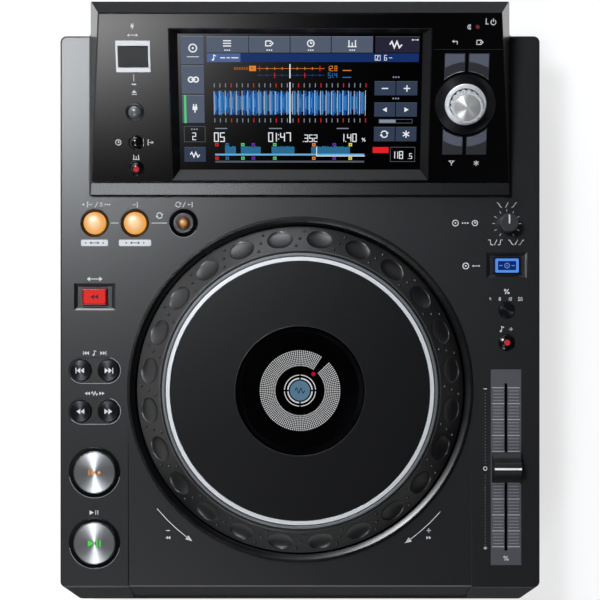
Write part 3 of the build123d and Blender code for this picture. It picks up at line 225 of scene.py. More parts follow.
@dataclass(frozen=True)
class MouldedPlastic(Finish):
    """ABS moulded in a spark-eroded tool: a dry fine grain that spreads highlights wide."""

    low: str = "1c1c1f"
    high: str = "222225"
    roughness: float = 0.46
    grain_mm: float = 0.7
    height_mm: float = 0.012
    edge_mm: float = 0.5
    level: float = 0.5
    end_mm: float = 0.0
    end_fade_mm: float = 1.0
    end_facing: Point = (0.35, 0.55)
    end_roughness: float = 0.62
    end_level: float = 0.03

    def toward_end(self, tree: NodeTree, middle: float, end: float) -> NodeSocket | float:
        """Changes a value on the faces that look to the front and the rear at the ends of the piece.

        Args:
            tree: The node tree.
            middle: The value between the ends.
            end: The value at the ends.

        Returns:
            The plain value where the finish has no ends, or the socket.
        """
        if not self.end_mm:
            return middle
        coordinates = add_node(tree, "ShaderNodeTexCoord")
        shares = []
        for source, start, stop in (("Object", (self.end_mm - self.end_fade_mm) * MM,
                                     (self.end_mm + self.end_fade_mm) * MM), ("Normal", *self.end_facing)):
            axes = add_node(tree, "ShaderNodeSeparateXYZ", inputs={0: coordinates.outputs[source]})
            shares.append(add_node(tree, "ShaderNodeMapRange", inputs={
                "Value": compute(tree, "ABSOLUTE", axes.outputs["Y"]), "From Min": start,
                "From Max": stop}).outputs["Result"])
        return add_node(tree, "ShaderNodeMapRange", inputs={
            "Value": compute(tree, "MULTIPLY", *shares), "To Min": middle, "To Max": end}).outputs["Result"]

    def shade(self, tree: NodeTree) -> Node:
        """Adds the grained plastic."""
        # Grain drawn at 0.7 mm, coarser than the real 0.15 mm, so that it shows at all.
        edge = self.soft_edge(tree, self.edge_mm)
        return self.principled(tree, {
            "Base Color": self.speckle(tree, self.grain_mm, self.low, self.high),
            "Roughness": self.toward_end(tree, self.roughness, self.end_roughness),
            "IOR": 1.5,
            "Specular IOR Level": self.toward_end(tree, self.level, self.end_level),
            "Normal": self.grain_bump(tree, self.grain_mm, self.height_mm, edge),
        })


@dataclass(frozen=True)
class PolishedPlastic(Finish):
    """Polished ABS or acrylic: deep colour under a clear sharp reflection, with a trace of wiping marks."""

    colour: str = "060607"
    roughness: float = 0.06
    edge_mm: float = 0.25
    level: float = 0.5
    haze_mm: float = 22.0

    def shade(self, tree: NodeTree) -> Node:
        """Adds the polished plastic."""
        rough = add_node(tree, "ShaderNodeMapRange", inputs={
            "Value": self.noise(tree, self.haze_mm, 3.0), "To Min": self.roughness * 0.8,
            "To Max": self.roughness * 1.3})
        return self.principled(tree, {
            "Base Color": linear(self.colour),
            "Roughness": rough.outputs["Result"],
            "IOR": 1.5,
            "Specular IOR Level": self.level,
            "Normal": self.soft_edge(tree, self.edge_mm),
        })


@dataclass(frozen=True)
class SatinMetal(Finish):
    """Bead-blasted and anodised aluminium: an even soft sheen."""

    colour: str = "c9cbcf"
    roughness: float = 0.3
    grain_mm: float = 0.4
    edge_mm: float = 0.2
    metallic: float = 1.0

    def shade(self, tree: NodeTree) -> Node:
        """Adds the satin metal."""
        edge = self.soft_edge(tree, self.edge_mm)
        return self.principled(tree, {
            "Base Color": linear(self.colour),
            "Metallic": self.metallic,
            "Roughness": self.roughness,
            "Normal": self.grain_bump(tree, self.grain_mm, 0.004, edge),
        })


@dataclass(frozen=True)
class SpunMetal(Finish):
    """Metal faced off on a lathe: fine circles that draw the light out into wedges."""

    centre: Place = (0.0, 0.0, 0.0)
    axis: Place = (0.0, 0.0, 1.0)
    colour: str = "c4c5c8"
    roughness: float = 0.28
    anisotropy: float = 0.85
    circle_mm: float = 0.55
    depth_mm: float = 0.006
    metallic: float = 0.7

    def shade(self, tree: NodeTree) -> Node:
        """Adds the spun metal."""
        middle = tuple(value * MM for value in self.centre)
        along = compute_vector(tree, "CROSS_PRODUCT", self.axis,
                               compute_vector(tree, "SUBTRACT", self.place(tree), middle))
        outward = compute_vector(tree, "CROSS_PRODUCT", along, self.axis)
        # Circles drawn 0.55 mm apart, coarser than a real facing cut, so that they show.
        turns = compute(tree, "MULTIPLY", compute_vector(tree, "LENGTH", along), math.tau / (self.circle_mm * MM))
        bump = add_node(tree, "ShaderNodeBump", inputs={
            "Height": compute(tree, "SINE", turns), "Distance": self.depth_mm * MM, "Strength": 1.0})
        return self.principled(tree, {
            "Base Color": linear(self.colour),
            "Metallic": self.metallic,
            "Roughness": self.roughness,
            "Anisotropic": self.anisotropy,
            "Tangent": compute_vector(tree, "NORMALIZE", outward),
            "Normal": bump.outputs["Normal"],
        })


@dataclass(frozen=True)
class LitCap(Finish):
    """Translucent acrylic over a lamp: bright and pale in the middle, deep colour at the rim."""

    centre: Place = (0.0, 0.0, 0.0)
    radius: float = 7.0
    core: str = "ffe9bd"
    rim: str = "ff9a1f"
    glow: float = 0.85
    unlit: str = "4a2a0e"

    def shade(self, tree: NodeTree) -> Node:
        """Adds the lit cap."""
        share = self.distance(tree, self.centre, self.radius)
        return self.principled(tree, {
            "Base Color": linear(self.unlit),
            "Roughness": 0.3,
            "Emission Color": self.blend(tree, share, (0.3, self.core), (0.95, self.rim)),
            "Emission Strength": self.glow,
        })


@dataclass(frozen=True)
class LitColour(Finish):
    """Picture cells and lamps behind coated glass: their own light, under a faint reflection."""

    colour: str = "3a465e"
    glow: float = 0.9

    def shade(self, tree: NodeTree) -> Node:
        """Adds the lit colour."""
        return self.principled(tree, {
            "Base Color": linear("050506"),
            "Roughness": 0.12,
            "Specular IOR Level": 0.1,
            "Emission Color": linear(self.colour),
            "Emission Strength": self.glow,
        })


@dataclass(frozen=True)
class PrintInk(Finish):
    """Screen-printed ink: flat and dry, with slightly uneven cover."""

    low: str = "c4c5c8"
    high: str = "dadbde"

    def shade(self, tree: NodeTree) -> Node:
        """Adds the ink."""
        return self.principled(tree, {
            "Base Color": self.speckle(tree, 0.5, self.low, self.high),
            "Roughness": 0.55,
            "Specular IOR Level": 0.3,
        })


@dataclass(frozen=True)
class ClearWindow(Finish):
    """Clear polycarbonate lens with a coat that lowers its reflection, so it is nearly unseen."""

    tint: str = "f2f4f6"

    def shade(self, tree: NodeTree) -> Node:
        """Adds the clear lens."""
        # The coat leaves about a tenth of the bare plastic's reflection, which this low index gives.
        return self.principled(tree, {
            "Base Color": linear(self.tint),
            "Roughness": 0.02,
            "IOR": 1.14,
            "Transmission Weight": 1.0,
        })


@dataclass(frozen=True)
class SoftRubber(Finish):
    """Moulded rubber: dull, with a dusty bloom in the grain."""

    def shade(self, tree: NodeTree) -> Node:
        """Adds the rubber."""
        return self.principled(tree, {
            "Base Color": self.speckle(tree, 1.2, "161617", "232324"),
            "Roughness": 0.85,
            "Normal": self.grain_bump(tree, 0.8, 0.02),
        })


@dataclass(frozen=True)
class BoardMask(Finish):
    """Fibreglass board under green solder mask: glossy, with the weave just showing."""

    def shade(self, tree: NodeTree) -> Node:
        """Adds the board."""
        return self.principled(tree, {
            "Base Color": self.speckle(tree, 1.6, "0c3a1c", "145028"),
            "Roughness": 0.3,
            "Normal": self.grain_bump(tree, 0.9, 0.01),
        })


@dataclass(frozen=True)
class StudioPaper(Finish):
    """White backdrop paper that stays white to the eye and still takes the shadow."""

    share: float = 0.7

    def shade(self, tree: NodeTree) -> Node:
        """Adds the paper."""
        rays = add_node(tree, "ShaderNodeLightPath").outputs
        seen = compute(tree, "MAXIMUM", rays["Is Camera Ray"], rays["Is Glossy Ray"])
        seen = compute(tree, "MAXIMUM", seen, rays["Is Transmission Ray"])
        glow = add_node(tree, "ShaderNodeEmission", inputs={
            "Color": WHITE, "Strength": compute(tree, "MULTIPLY", seen, self.share)})
        matt = add_node(tree, "ShaderNodeBsdfDiffuse", inputs={"Color": linear("a4a4a4")})
        return add_node(tree, "ShaderNodeAddShader", inputs={0: glow.outputs[0], 1: matt.outputs[0]})


@dataclass(frozen=True)
class SoftCard(Finish):
    """White card lit from one place, so that its reflection fades out over the gloss."""

    centre: Place = (0.0, 0.0, 0.0)
    reach: float = 280.0
    peak: float = 8.5

    def shade(self, tree: NodeTree) -> Node:
        """Adds the fading light."""
        share = self.distance(tree, self.centre, self.reach)
        square = compute(tree, "MULTIPLY", share, share)
        fade = compute(tree, "EXPONENT", compute(tree, "MULTIPLY", square, -1.0))
        power = compute(tree, "MULTIPLY", fade, self.peak)
        return add_node(tree, "ShaderNodeEmission", inputs={"Color": WHITE, "Strength": power})


@lru_cache(maxsize=None)
def material_of(finish: Finish) -> Material:
    """Builds a finish once and returns its material."""
    return finish.build()


# ---- places

@dataclass(frozen=True)
class Face:
    """A flat face of the player, with u to the right, v away from the user and h out of the face."""

    origin: Place
    tilt: float = 0.0

    def matrix(self) -> Matrix:
        """Gives the turn and move from the face to the player, in metres."""
        middle = Vector(self.origin) * MM
        return Matrix.Translation(middle) @ Matrix.Rotation(math.radians(self.tilt), 4, "X")

    def point(self, u: float, v: float, h: float = 0.0) -> Vector:
        """Gives a place on the face, in metres."""
        return self.matrix() @ (Vector((u, v, h)) * MM)

    def normal(self) -> Place:
        """Gives the direction out of the face."""
        return tuple(self.matrix().to_3x3() @ Vector((0, 0, 1)))

    def raised(self, height: float) -> "Face":
        """Gives a parallel face at a height above this one."""
        return Face(tuple(self.point(0, 0, height) / MM), self.tilt)


DECK_Z = 68.0
JOG_Y = -52.7
PANEL_TILT = math.degrees(math.atan(0.304))
DECK = Face((0.0, 0.0, DECK_Z))
PANEL = Face((0.0, 78.05, 77.0), PANEL_TILT)
GLASS = PANEL.raised(-5.0)
JOG_TOP = Face((0.0, JOG_Y, 86.0))
JOG_PICTURE = Face((0.0, JOG_Y, 81.6))
REAR = Face((0.0, 172.4, 0.0), 90.0)
UNDER = Face((0.0, 0.0, 8.0), 180.0)
FLOOR = Face((0.0, 0.0, 0.0))
KEY_TOP = 1.4
FILM = 0.05


def polar(radius: float, angle: float, u: float = 0.0, v: float = 0.0) -> Point:
    """Gives the point at a radius and an angle in radians round a middle."""
    return u + radius * math.cos(angle), v + radius * math.sin(angle)


# ---- meshes

@dataclass
class Shaper:
    """Collects closed shapes on one face and makes one piece of them.

    Attributes:
        name: Name of the piece.
        face: The face that the shapes stand on.
        finish: The finish of the piece.
        body: The body that it rides on.
        height: How far the shapes stand proud.
        slot: The record's slot of the piece, where there is one; not used.
        points: Corners in millimetres on the face.
        faces: Corner numbers of each face.
    """

    name: str
    face: Face
    finish: Finish
    body: str = "chassis"
    height: float = 0.08
    slot: str = ""
    points: list[Vector] = field(default_factory=list)
    faces: list[tuple[int, ...]] = field(default_factory=list)

    def add(self, points: Iterable[Place], faces: Iterable[tuple[int, ...]]) -> None:
        """Adds points in millimetres on the face, and the faces between them."""
        self.faces += [tuple(len(self.points) + index for index in corners) for corners in faces]
        self.points += [Vector(point) for point in points]

    def polygon(self, outline: Sequence[Point], lift: float = 0.0, height: float | None = None) -> None:
        """Adds a closed slab over an outline.

        Args:
            outline: The corners in (u, v), in either order.
            lift: Height of the slab's foot above the face.
            height: Thickness of the slab.
        """
        top = lift + (self.height if height is None else height)
        area = sum(a[0] * b[1] - b[0] * a[1] for a, b in zip(outline, [*outline[1:], outline[0]]))
        corners = list(outline) if area > 0 else list(reversed(outline))
        count = len(corners)
        points = [(u, v, lift) for u, v in corners] + [(u, v, top) for u, v in corners]
        faces = [tuple(range(count, 2 * count)), tuple(reversed(range(count)))]
        faces += [(i, (i + 1) % count, count + (i + 1) % count, count + i) for i in range(count)]
        self.add(points, faces)

    def bar(self, u0: float, u1: float, v0: float, v1: float, lift: float = 0.0,
            height: float | None = None) -> None:
        """Adds a rectangle between two corners."""
        self.polygon([(u0, v0), (u1, v0), (u1, v1), (u0, v1)], lift, height)

    def pill(self, u: float, v: float, width: float, depth: float, corner: float, lift: float = 0.0) -> None:
        """Adds a rectangle with rounded corners.

        Args:
            u: Its middle across the face.
            v: Its middle up the face.
            width: Its size across the face.
            depth: Its size up the face.
            corner: Radius of its corners.
            lift: Height of its foot above the face.
        """
        outline = []
        for quarter, (su, sv) in enumerate(((1, 1), (-1, 1), (-1, -1), (1, -1))):
            for step in range(5):
                outline.append(polar(corner, math.radians(90 * quarter + 22.5 * step),
                                     u + su * (width / 2 - corner), v + sv * (depth / 2 - corner)))
        self.polygon(outline, lift)

    def disc(self, u: float, v: float, radius: float, lift: float = 0.0, sides: int = 32) -> None:
        """Adds a round slab."""
        self.polygon([polar(radius, math.tau / sides * i, u, v) for i in range(sides)], lift)

    def arc(self, u: float, v: float, radius: float, width: float, start: float, stop: float,
            lift: float = 0.0) -> None:
        """Adds part of a ring; 360 degrees closes it.

        Args:
            u: Its middle across the face.
            v: Its middle up the face.
            radius: Radius of the middle of the band.
            width: Width of the band.
            start: Angle of its first end in degrees.
            stop: Angle of its last end in degrees.
            lift: Height of its foot above the face.
        """
        inner, outer = radius - width / 2, radius + width / 2
        if stop - start >= 360:
            top = lift + self.height
            self.lathe((u, v), [(inner, lift), (outer, lift), (outer, top), (inner, top)], 64)
            return
        steps = max(3, int((stop - start) / 6))
        angles = [math.radians(start + (stop - start) * i / steps) for i in range(steps + 1)]
        self.polygon([*(polar(outer, angle, u, v) for angle in angles),
                      *(polar(inner, angle, u, v) for angle in reversed(angles))], lift)

    def stroke(self, path: Sequence[Point], width: float, lift: float = 0.0) -> None:
        """Adds a line of one width with mitred corners.

        Args:
            path: The corners of the open path in (u, v).
            width: Width of the line.
            lift: Height of its foot above the face.
        """
        left, right = [], []
        for index, (u, v) in enumerate(path):
            before = Vector(path[max(index - 1, 0)])
            after = Vector(path[min(index + 1, len(path) - 1)])
            here = Vector((u, v))
            arrive = (here - before).normalized() if index else (after - here).normalized()
            leave = (after - here).normalized() if index < len(path) - 1 else arrive
            middle = (arrive + leave).normalized() if (arrive + leave).length > 1e-6 else leave
            across = Vector((-middle.y, middle.x))
            reach = width / 2 / max(0.4, across.dot(Vector((-leave.y, leave.x))))
            left.append((u + across.x * reach, v + across.y * reach))
            right.append((u - across.x * reach, v - across.y * reach))
        self.polygon(left + right[::-1], lift)

    def lathe(self, middle: Point, profile: Sequence[Point], segments: int = 48) -> None:
        """Adds a closed turned shape.

        Args:
            middle: The axis's place on the face.
            profile: (radius, h) corners, outwards along the foot and back over the top. A radius of
                zero stands on the axis.
            segments: Steps round the axis.
        """
        points: list[Place] = []
        rows: list[list[int]] = []
        for radius, height in profile:
            if radius < 1e-9:
                rows.append([len(points)] * segments)
                points.append((middle[0], middle[1], height))
                continue
            rows.append(list(range(len(points), len(points) + segments)))
            points += [(*polar(radius, math.tau * step / segments, *middle), height) for step in range(segments)]
        faces = []
        closed = profile[0][0] > 1e-9
        pairs = list(zip(rows, rows[1:])) + ([(rows[-1], rows[0])] if closed else [])
        for near, far in pairs:
            for step in range(segments):
                after = (step + 1) % segments
                ring = tuple(dict.fromkeys((near[step], near[after], far[after], far[step])))
                if len(ring) > 2:
                    faces.append(ring)
        self.add(points, faces)

    def mesh(self) -> Mesh:
        """Makes the mesh with its finish.

        Returns:
            The mesh, in metres in the player's frame.
        """
        mesh = bpy.data.meshes.new(self.name)
        matrix = self.face.matrix()
        mesh.from_pydata([matrix @ (point * MM) for point in self.points], [], self.faces)
        mesh.validate()
        mesh.materials.append(material_of(self.finish))
        return mesh

    def piece(self, smooth: float = SMOOTH) -> Object:
        """Makes the piece, which is smooth up to an angle in degrees, and lets it ride."""
        return finish_piece(self.mesh(), self.name, self.body, smooth)


def stand_mesh(mesh: Mesh, name: str, smooth: float = SMOOTH) -> Object:
    """Smooths a mesh and puts it in the scene.

    Args:
        mesh: The mesh, in metres in the player's frame.
        name: Name of the object.
        smooth: Angle in degrees past which an edge stays sharp.

    Returns:
        The object.
    """
    mesh.shade_smooth()
    mesh.set_sharp_from_angle(angle=math.radians(smooth))
    obj = bpy.data.objects.new(name, mesh)
    bpy.context.scene.collection.objects.link(obj)
    return obj


def finish_piece(mesh: Mesh, name: str, body: str = "chassis", smooth: float = SMOOTH) -> Object:
    """Turns a mesh with its finish into a piece that rides on a body.

    Args:
        mesh: The mesh, in metres in the player's frame.
        name: Name of the piece.
        body: The body that it rides on.
        smooth: Angle in degrees past which an edge stays sharp.

    Returns:
        The piece.
    """
    obj = stand_mesh(mesh, name, smooth)
    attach(obj, body)
    LOG.info("%s: %d faces on %s", name, len(mesh.polygons), body)
    return obj


def turned(name: str, face: Face, finish: Finish, middle: Point, profile: Sequence[Point],
           body: str = "chassis", slot: str = "", segments: int = 48) -> None:
    """Makes a piece of one turned shape.

    Args:
        name: Name of the piece.
        face: The face that it stands on.
        finish: Its finish.
        middle: The axis's place on the face.
        profile: (radius, h) corners, as for Shaper.lathe.
        body: The body that it rides on.
        slot: The record's slot of the piece, where there is one, passed on to the piece.
        segments: Steps round the axis.
    """
    shape = Shaper(name, face, finish, body, slot=slot)
    shape.lathe(middle, profile, segments)
    shape.piece()


def dress(finish: Finish, *nodes: str) -> None:
    """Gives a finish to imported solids.

    Args:
        finish: The finish.
        nodes: The solids' names.
    """
    for name in nodes:
        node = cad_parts[name]
        if not node.material_slots:
            node.data.materials.append(material_of(finish))
        for holder in node.material_slots:
            holder.material = material_of(finish)
        LOG.info("%s: %s", name, finish.name)


# ---- repeats

class Layout(Enum):
    """How a repeated shape is laid out."""

    ROW = "row"
    RING = "ring"


@dataclass(frozen=True)
class Repeat:
    """A shape repeated along a row or round a ring by a node tree."""

    layout: Layout
    count: int
    pitch: float = 1.0
    radius: float = 0.0
    start: float = 0.0
    sweep: float = 360.0
    size: Place = (1.0, 0.2, 0.1)
    shortest: float = 1.0
    seed: int = 0
    round_shape: bool = False

    def tree(self) -> NodeTree:
        """Builds the node tree, with named inputs for its sizes.

        Returns:
            The node tree.
        """
        tree = bpy.data.node_groups.new(f"repeat_{self.layout.value}", "GeometryNodeTree")
        for title, kind in (("Count", "Int"), ("Pitch", "Float"), ("Radius", "Float"), ("Start", "Float"),
                            ("Step", "Float"), ("Size", "Vector"), ("Shortest", "Float"), ("Seed", "Int"),
                            ("Finish", "Material")):
            tree.interface.new_socket(title, in_out="INPUT", socket_type=f"NodeSocket{kind}")
        tree.interface.new_socket("Geometry", in_out="OUTPUT", socket_type="NodeSocketGeometry")
        given = add_node(tree, "NodeGroupInput").outputs
        index = add_node(tree, "GeometryNodeInputIndex").outputs[0]
        points = add_node(tree, "GeometryNodePoints", inputs={"Count": given["Count"]})
        if self.layout is Layout.ROW:
            along = compute(tree, "MULTIPLY", index, given["Pitch"])
            place = add_node(tree, "ShaderNodeCombineXYZ", inputs={"X": along}).outputs[0]
            turn = add_node(tree, "ShaderNodeCombineXYZ").outputs[0]
        else:
            angle = compute(tree, "MULTIPLY_ADD", index, given["Step"], given["Start"])
            arm = add_node(tree, "ShaderNodeCombineXYZ", inputs={
                "X": compute(tree, "COSINE", angle), "Y": compute(tree, "SINE", angle)}).outputs[0]
            place = add_node(tree, "ShaderNodeVectorMath", {"operation": "SCALE"},
                             {0: arm, "Scale": given["Radius"]}).outputs[0]
            turn = add_node(tree, "ShaderNodeCombineXYZ", inputs={"Z": angle}).outputs[0]
        placed = add_node(tree, "GeometryNodeSetPosition",
                          inputs={"Geometry": points.outputs[0], "Position": place})
        if self.round_shape:
            shape = add_node(tree, "GeometryNodeMeshUVSphere", inputs={"Segments": 10, "Rings": 6, "Radius": 0.5})
        else:
            shape = add_node(tree, "GeometryNodeMeshCube", inputs={"Size": (1.0, 1.0, 1.0)})
        chance = add_node(tree, "FunctionNodeRandomValue", {"data_type": "FLOAT"},
                          {2: given["Shortest"], 3: 1.0, "Seed": given["Seed"]}).outputs[1]
        across = add_node(tree, "ShaderNodeCombineXYZ", inputs={"X": 1.0, "Y": chance, "Z": 1.0}).outputs[0]
        extent = compute_vector(tree, "MULTIPLY", given["Size"], across)
        spread = add_node(tree, "GeometryNodeInstanceOnPoints", inputs={
            "Points": placed.outputs[0], "Instance": shape.outputs[0], "Rotation": turn, "Scale": extent})
        real = add_node(tree, "GeometryNodeRealizeInstances", inputs={"Geometry": spread.outputs[0]})
        done = add_node(tree, "GeometryNodeSetMaterial",
                        inputs={"Geometry": real.outputs[0], "Material": given["Finish"]})
        add_node(tree, "NodeGroupOutput", inputs={"Geometry": done.outputs[0]})
        return tree

    def mesh(self, matrix: Matrix, finish: Finish) -> Mesh:
        """Bakes the repeat into a mesh.

        Args:
            matrix: The place of its first point or its centre.
            finish: Its finish.

        Returns:
            The mesh, in metres in the player's frame.
        """
        tree = self.tree()
        holder = bpy.data.objects.new("repeat_holder", bpy.data.meshes.new("repeat_holder"))
        bpy.context.scene.collection.objects.link(holder)
        modifier = holder.modifiers.new("Repeat", "NODES")
        modifier.node_group = tree
        closed = self.sweep >= 360
        step = math.radians(self.sweep) / (self.count if closed else max(1, self.count - 1))
        values = {"Count": self.count, "Pitch": self.pitch * MM, "Radius": self.radius * MM,
                  "Start": math.radians(self.start), "Step": step, "Shortest": self.shortest,
                  "Seed": self.seed, "Size": tuple(side * MM for side in self.size),
                  "Finish": material_of(finish)}
        for item in tree.interface.items_tree:
            if item.item_type == "SOCKET" and item.in_out == "INPUT":
                modifier[item.identifier] = values[item.name]
        bpy.context.view_layer.update()
        evaluated = holder.evaluated_get(bpy.context.evaluated_depsgraph_get())
        mesh = bpy.data.meshes.new_from_object(evaluated)
        holder.modifiers.remove(modifier)
        bpy.data.objects.remove(holder)
        bpy.data.node_groups.remove(tree)
        mesh.materials.clear()
        mesh.materials.append(material_of(finish))
        mesh.polygons.foreach_set("material_index", [0] * len(mesh.polygons))
        mesh.transform(matrix)
        return mesh


def join_meshes(meshes: Sequence[Mesh]) -> Mesh:
    """Joins meshes of one finish into one mesh.

    Args:
        meshes: The meshes, which are used up.

    Returns:
        The joined mesh.
    """
    points: list[Vector] = []
    faces: list[tuple[int, ...]] = []
    for mesh in meshes:
        start = len(points)
        points += [vertex.co.copy() for vertex in mesh.vertices]
        faces += [tuple(start + index for index in polygon.vertices) for polygon in mesh.polygons]
    joined = bpy.data.meshes.new("joined")
    joined.from_pydata(points, [], faces)
    for material in meshes[0].materials:
        joined.materials.append(material)
    for mesh in meshes:
        bpy.data.meshes.remove(mesh)
    return joined


def turned_place(face: Face, u: float, v: float, h: float, turn: float = 0.0) -> Matrix:
    """Gives a place on a face, turned about its normal by degrees."""
    local = Matrix.Translation(Vector((u, v, h)) * MM) @ Matrix.Rotation(math.radians(turn), 4, "Z")
    return face.matrix() @ local


# ---- pictograms

def mirrored(sign: tuple) -> tuple:
    """Turns a sign of lines and filled shapes to the other side."""
    return tuple((kind, *((-x, y) for x, y in points)) for kind, *points in sign)


class Symbol(Enum):
    """Generic signs as strokes in a square one unit wide. Each entry is a kind and its numbers."""

    LEFT = (("fill", (0.4, 0.45), (0.4, -0.45), (-0.4, 0.0)),)
    RIGHT = mirrored(LEFT)
    SKIP_BACK = (("line", (-0.62, 0.4), (-0.62, -0.4)), ("fill", (-0.02, 0.38), (-0.02, -0.38), (-0.52, 0.0)),
                 ("fill", (0.5, 0.38), (0.5, -0.38), (0.0, 0.0)))
    SKIP_ON = mirrored(SKIP_BACK)
    REWIND = (("fill", (-0.02, 0.38), (-0.02, -0.38), (-0.56, 0.0)), ("fill", (0.54, 0.38), (0.54, -0.38), (0.0, 0.0)))
    FAST = mirrored(REWIND)
    PLAY_PAUSE = (("fill", (-0.95, 0.42), (-0.95, -0.42), (-0.15, 0.0)), ("line", (0.2, 0.42), (0.2, -0.42)),
                  ("line", (0.6, 0.42), (0.6, -0.42)))
    POWER = (("arc", 0.0, -0.05, 0.36, 120.0, 420.0), ("line", (0.0, 0.0), (0.0, 0.5)))
    MOON = (("arc", 0.0, 0.0, 0.36, 60.0, 300.0), ("line", (0.16, 0.3), (-0.08, 0.0), (0.16, -0.3)))
    EJECT = (("fill", (-0.42, 0.0), (0.42, 0.0), (0.0, 0.46)), ("line", (-0.42, -0.24), (0.42, -0.24)))
    CLOCK = (("ring", 0.0, 0.0, 0.4), ("line", (0.0, 0.26), (0.0, 0.0), (0.2, 0.0)))
    IN = (("line", (-0.3, 0.42), (-0.46, 0.42), (-0.46, -0.42), (-0.3, -0.42)),
          ("line", (-0.3, 0.0), (0.45, 0.0)), ("fill", (0.12, 0.26), (0.12, -0.26), (0.5, 0.0)))
    OUT = mirrored(IN)
    LOOP = (("arc", 0.0, 0.0, 0.4, 20.0, 160.0), ("arc", 0.0, 0.0, 0.4, 200.0, 340.0),
            ("fill", (0.18, 0.2), (0.56, 0.2), (0.37, -0.1)), ("fill", (-0.18, -0.2), (-0.56, -0.2), (-0.37, 0.1)))
    SWAP = (("line", (-0.7, 0.0), (0.7, 0.0)), ("fill", (-0.6, 0.3), (-0.6, -0.3), (-1.0, 0.0)),
            ("fill", (0.6, 0.3), (0.6, -0.3), (1.0, 0.0)))
    TAG = (("line", (-0.45, 0.3), (0.15, 0.3), (0.45, 0.0), (0.15, -0.3), (-0.45, -0.3), (-0.45, 0.3)),
           ("dot", 0.12, 0.0, 0.09))
    RETURN = (("line", (0.4, -0.35), (0.4, 0.15), (-0.3, 0.15)), ("fill", (-0.12, 0.42), (-0.12, -0.12), (-0.5, 0.15)))
    FUNNEL = (("line", (0.0, -0.4), (0.0, -0.05), (-0.4, 0.36), (0.4, 0.36), (0.0, -0.05)),)
    STAR = (("line", (0.0, 0.45), (0.0, -0.45)), ("line", (-0.4, 0.24), (0.4, -0.24)),
            ("line", (-0.4, -0.24), (0.4, 0.24)))
    NOTE = (("dot", -0.2, -0.32, 0.16), ("line", (-0.06, -0.32), (-0.06, 0.42), (0.3, 0.26)))
    WHEEL = (("ring", 0.0, 0.0, 0.42), ("dot", 0.0, 0.0, 0.12))
    PLUG = (("line", (0.0, -0.5), (0.0, -0.15)), ("fill", (-0.26, -0.2), (0.26, -0.2), (0.26, 0.2), (-0.26, 0.2)),
            ("line", (-0.14, 0.2), (-0.14, 0.46)), ("line", (0.14, 0.2), (0.14, 0.46)))
    GRID = (("line", (-0.4, -0.4), (-0.4, 0.4)), ("line", (0.0, -0.4), (0.0, 0.1)), ("line", (0.4, -0.4), (0.4, 0.4)),
            ("line", (-0.55, -0.4), (0.55, -0.4)))
    LIST = (("line", (-0.5, 0.32), (0.5, 0.32)), ("line", (-0.5, 0.0), (0.5, 0.0)),
            ("line", (-0.5, -0.32), (0.5, -0.32)))
    DOTS = (("dot", -0.36, 0.0, 0.12), ("dot", 0.0, 0.0, 0.12), ("dot", 0.36, 0.0, 0.12))
    CHAIN = (("ring", -0.25, 0.0, 0.24), ("ring", 0.25, 0.0, 0.24), ("line", (-0.2, 0.0), (0.2, 0.0)))
    WAVE = (("line", (-0.6, 0.0), (-0.4, 0.3), (-0.15, -0.3), (0.1, 0.3), (0.35, -0.3), (0.6, 0.0)),)
    PLUS = (("line", (-0.4, 0.0), (0.4, 0.0)), ("line", (0.0, -0.4), (0.0, 0.4)))
    MINUS = (("line", (-0.4, 0.0), (0.4, 0.0)),)
    SLASH = (("line", (-0.25, -0.5), (0.25, 0.5)),)
    FALL_SHARP = (("line", (-0.5, 0.45), (-0.12, 0.45), (0.0, -0.45), (0.4, -0.45)),)
    RISE_SHARP = mirrored(FALL_SHARP)
    FALL_SOFT = (("line", (-0.55, 0.45), (-0.3, 0.4), (0.2, -0.4), (0.5, -0.45)),)
    RISE_SOFT = mirrored(FALL_SOFT)
    PERCENT = (("ring", -0.28, 0.24, 0.14), ("ring", 0.28, -0.24, 0.14), ("line", (-0.3, -0.42), (0.3, 0.42)))

    def draw(self, sheet: Shaper, u: float, v: float, size: float, weight: float = 0.13, lift: float = 0.0) -> None:
        """Draws the sign.

        Args:
            sheet: The piece that takes its shapes.
            u: Middle of the sign across the face.
            v: Middle of the sign up the face.
            size: Side of the sign's square, in millimetres.
            weight: Width of its lines, as a share of the size.
            lift: Height of its foot above the face.
        """
        width = weight * size
        for kind, *values in self.value:
            if kind == "fill":
                sheet.polygon([(u + x * size, v + y * size) for x, y in values], lift)
            elif kind == "line":
                sheet.stroke([(u + x * size, v + y * size) for x, y in values], width, lift)
            elif kind == "dot":
                sheet.disc(u + values[0] * size, v + values[1] * size, values[2] * size, lift, 16)
            elif kind == "ring":
                sheet.arc(u + values[0] * size, v + values[1] * size, values[2] * size, width, 0, 360, lift)
            else:
                x, y, radius, start, stop = values
                sheet.arc(u + x * size, v + y * size, radius * size, width, start, stop, lift)


def draw_row(sheet: Shaper, u: float, v: float, *signs: tuple) -> None:
    """Draws signs, each with its symbol, its place along the row, its size and, where it differs, its weight."""
    for symbol, along, *looks in signs:
        symbol.draw(sheet, u + along, v, *looks)


DIGITS: dict[str, str] = {
    "0": "abcdef", "1": "bc", "2": "abged", "3": "abgcd", "4": "fgbc", "5": "afgcd", "6": "afgedc",
    "7": "abc", "8": "abcdefg", "9": "gfabcd", "-": "g",
}
SEGMENTS: dict[str, tuple[Point, Point]] = {
    "a": ((0, 1), (1, 1)), "b": ((1, 1), (1, 0.5)), "c": ((1, 0.5), (1, 0)), "d": ((0, 0), (1, 0)),
    "e": ((0, 0), (0, 0.5)), "f": ((0, 0.5), (0, 1)), "g": ((0, 0.5), (1, 0.5)),
}


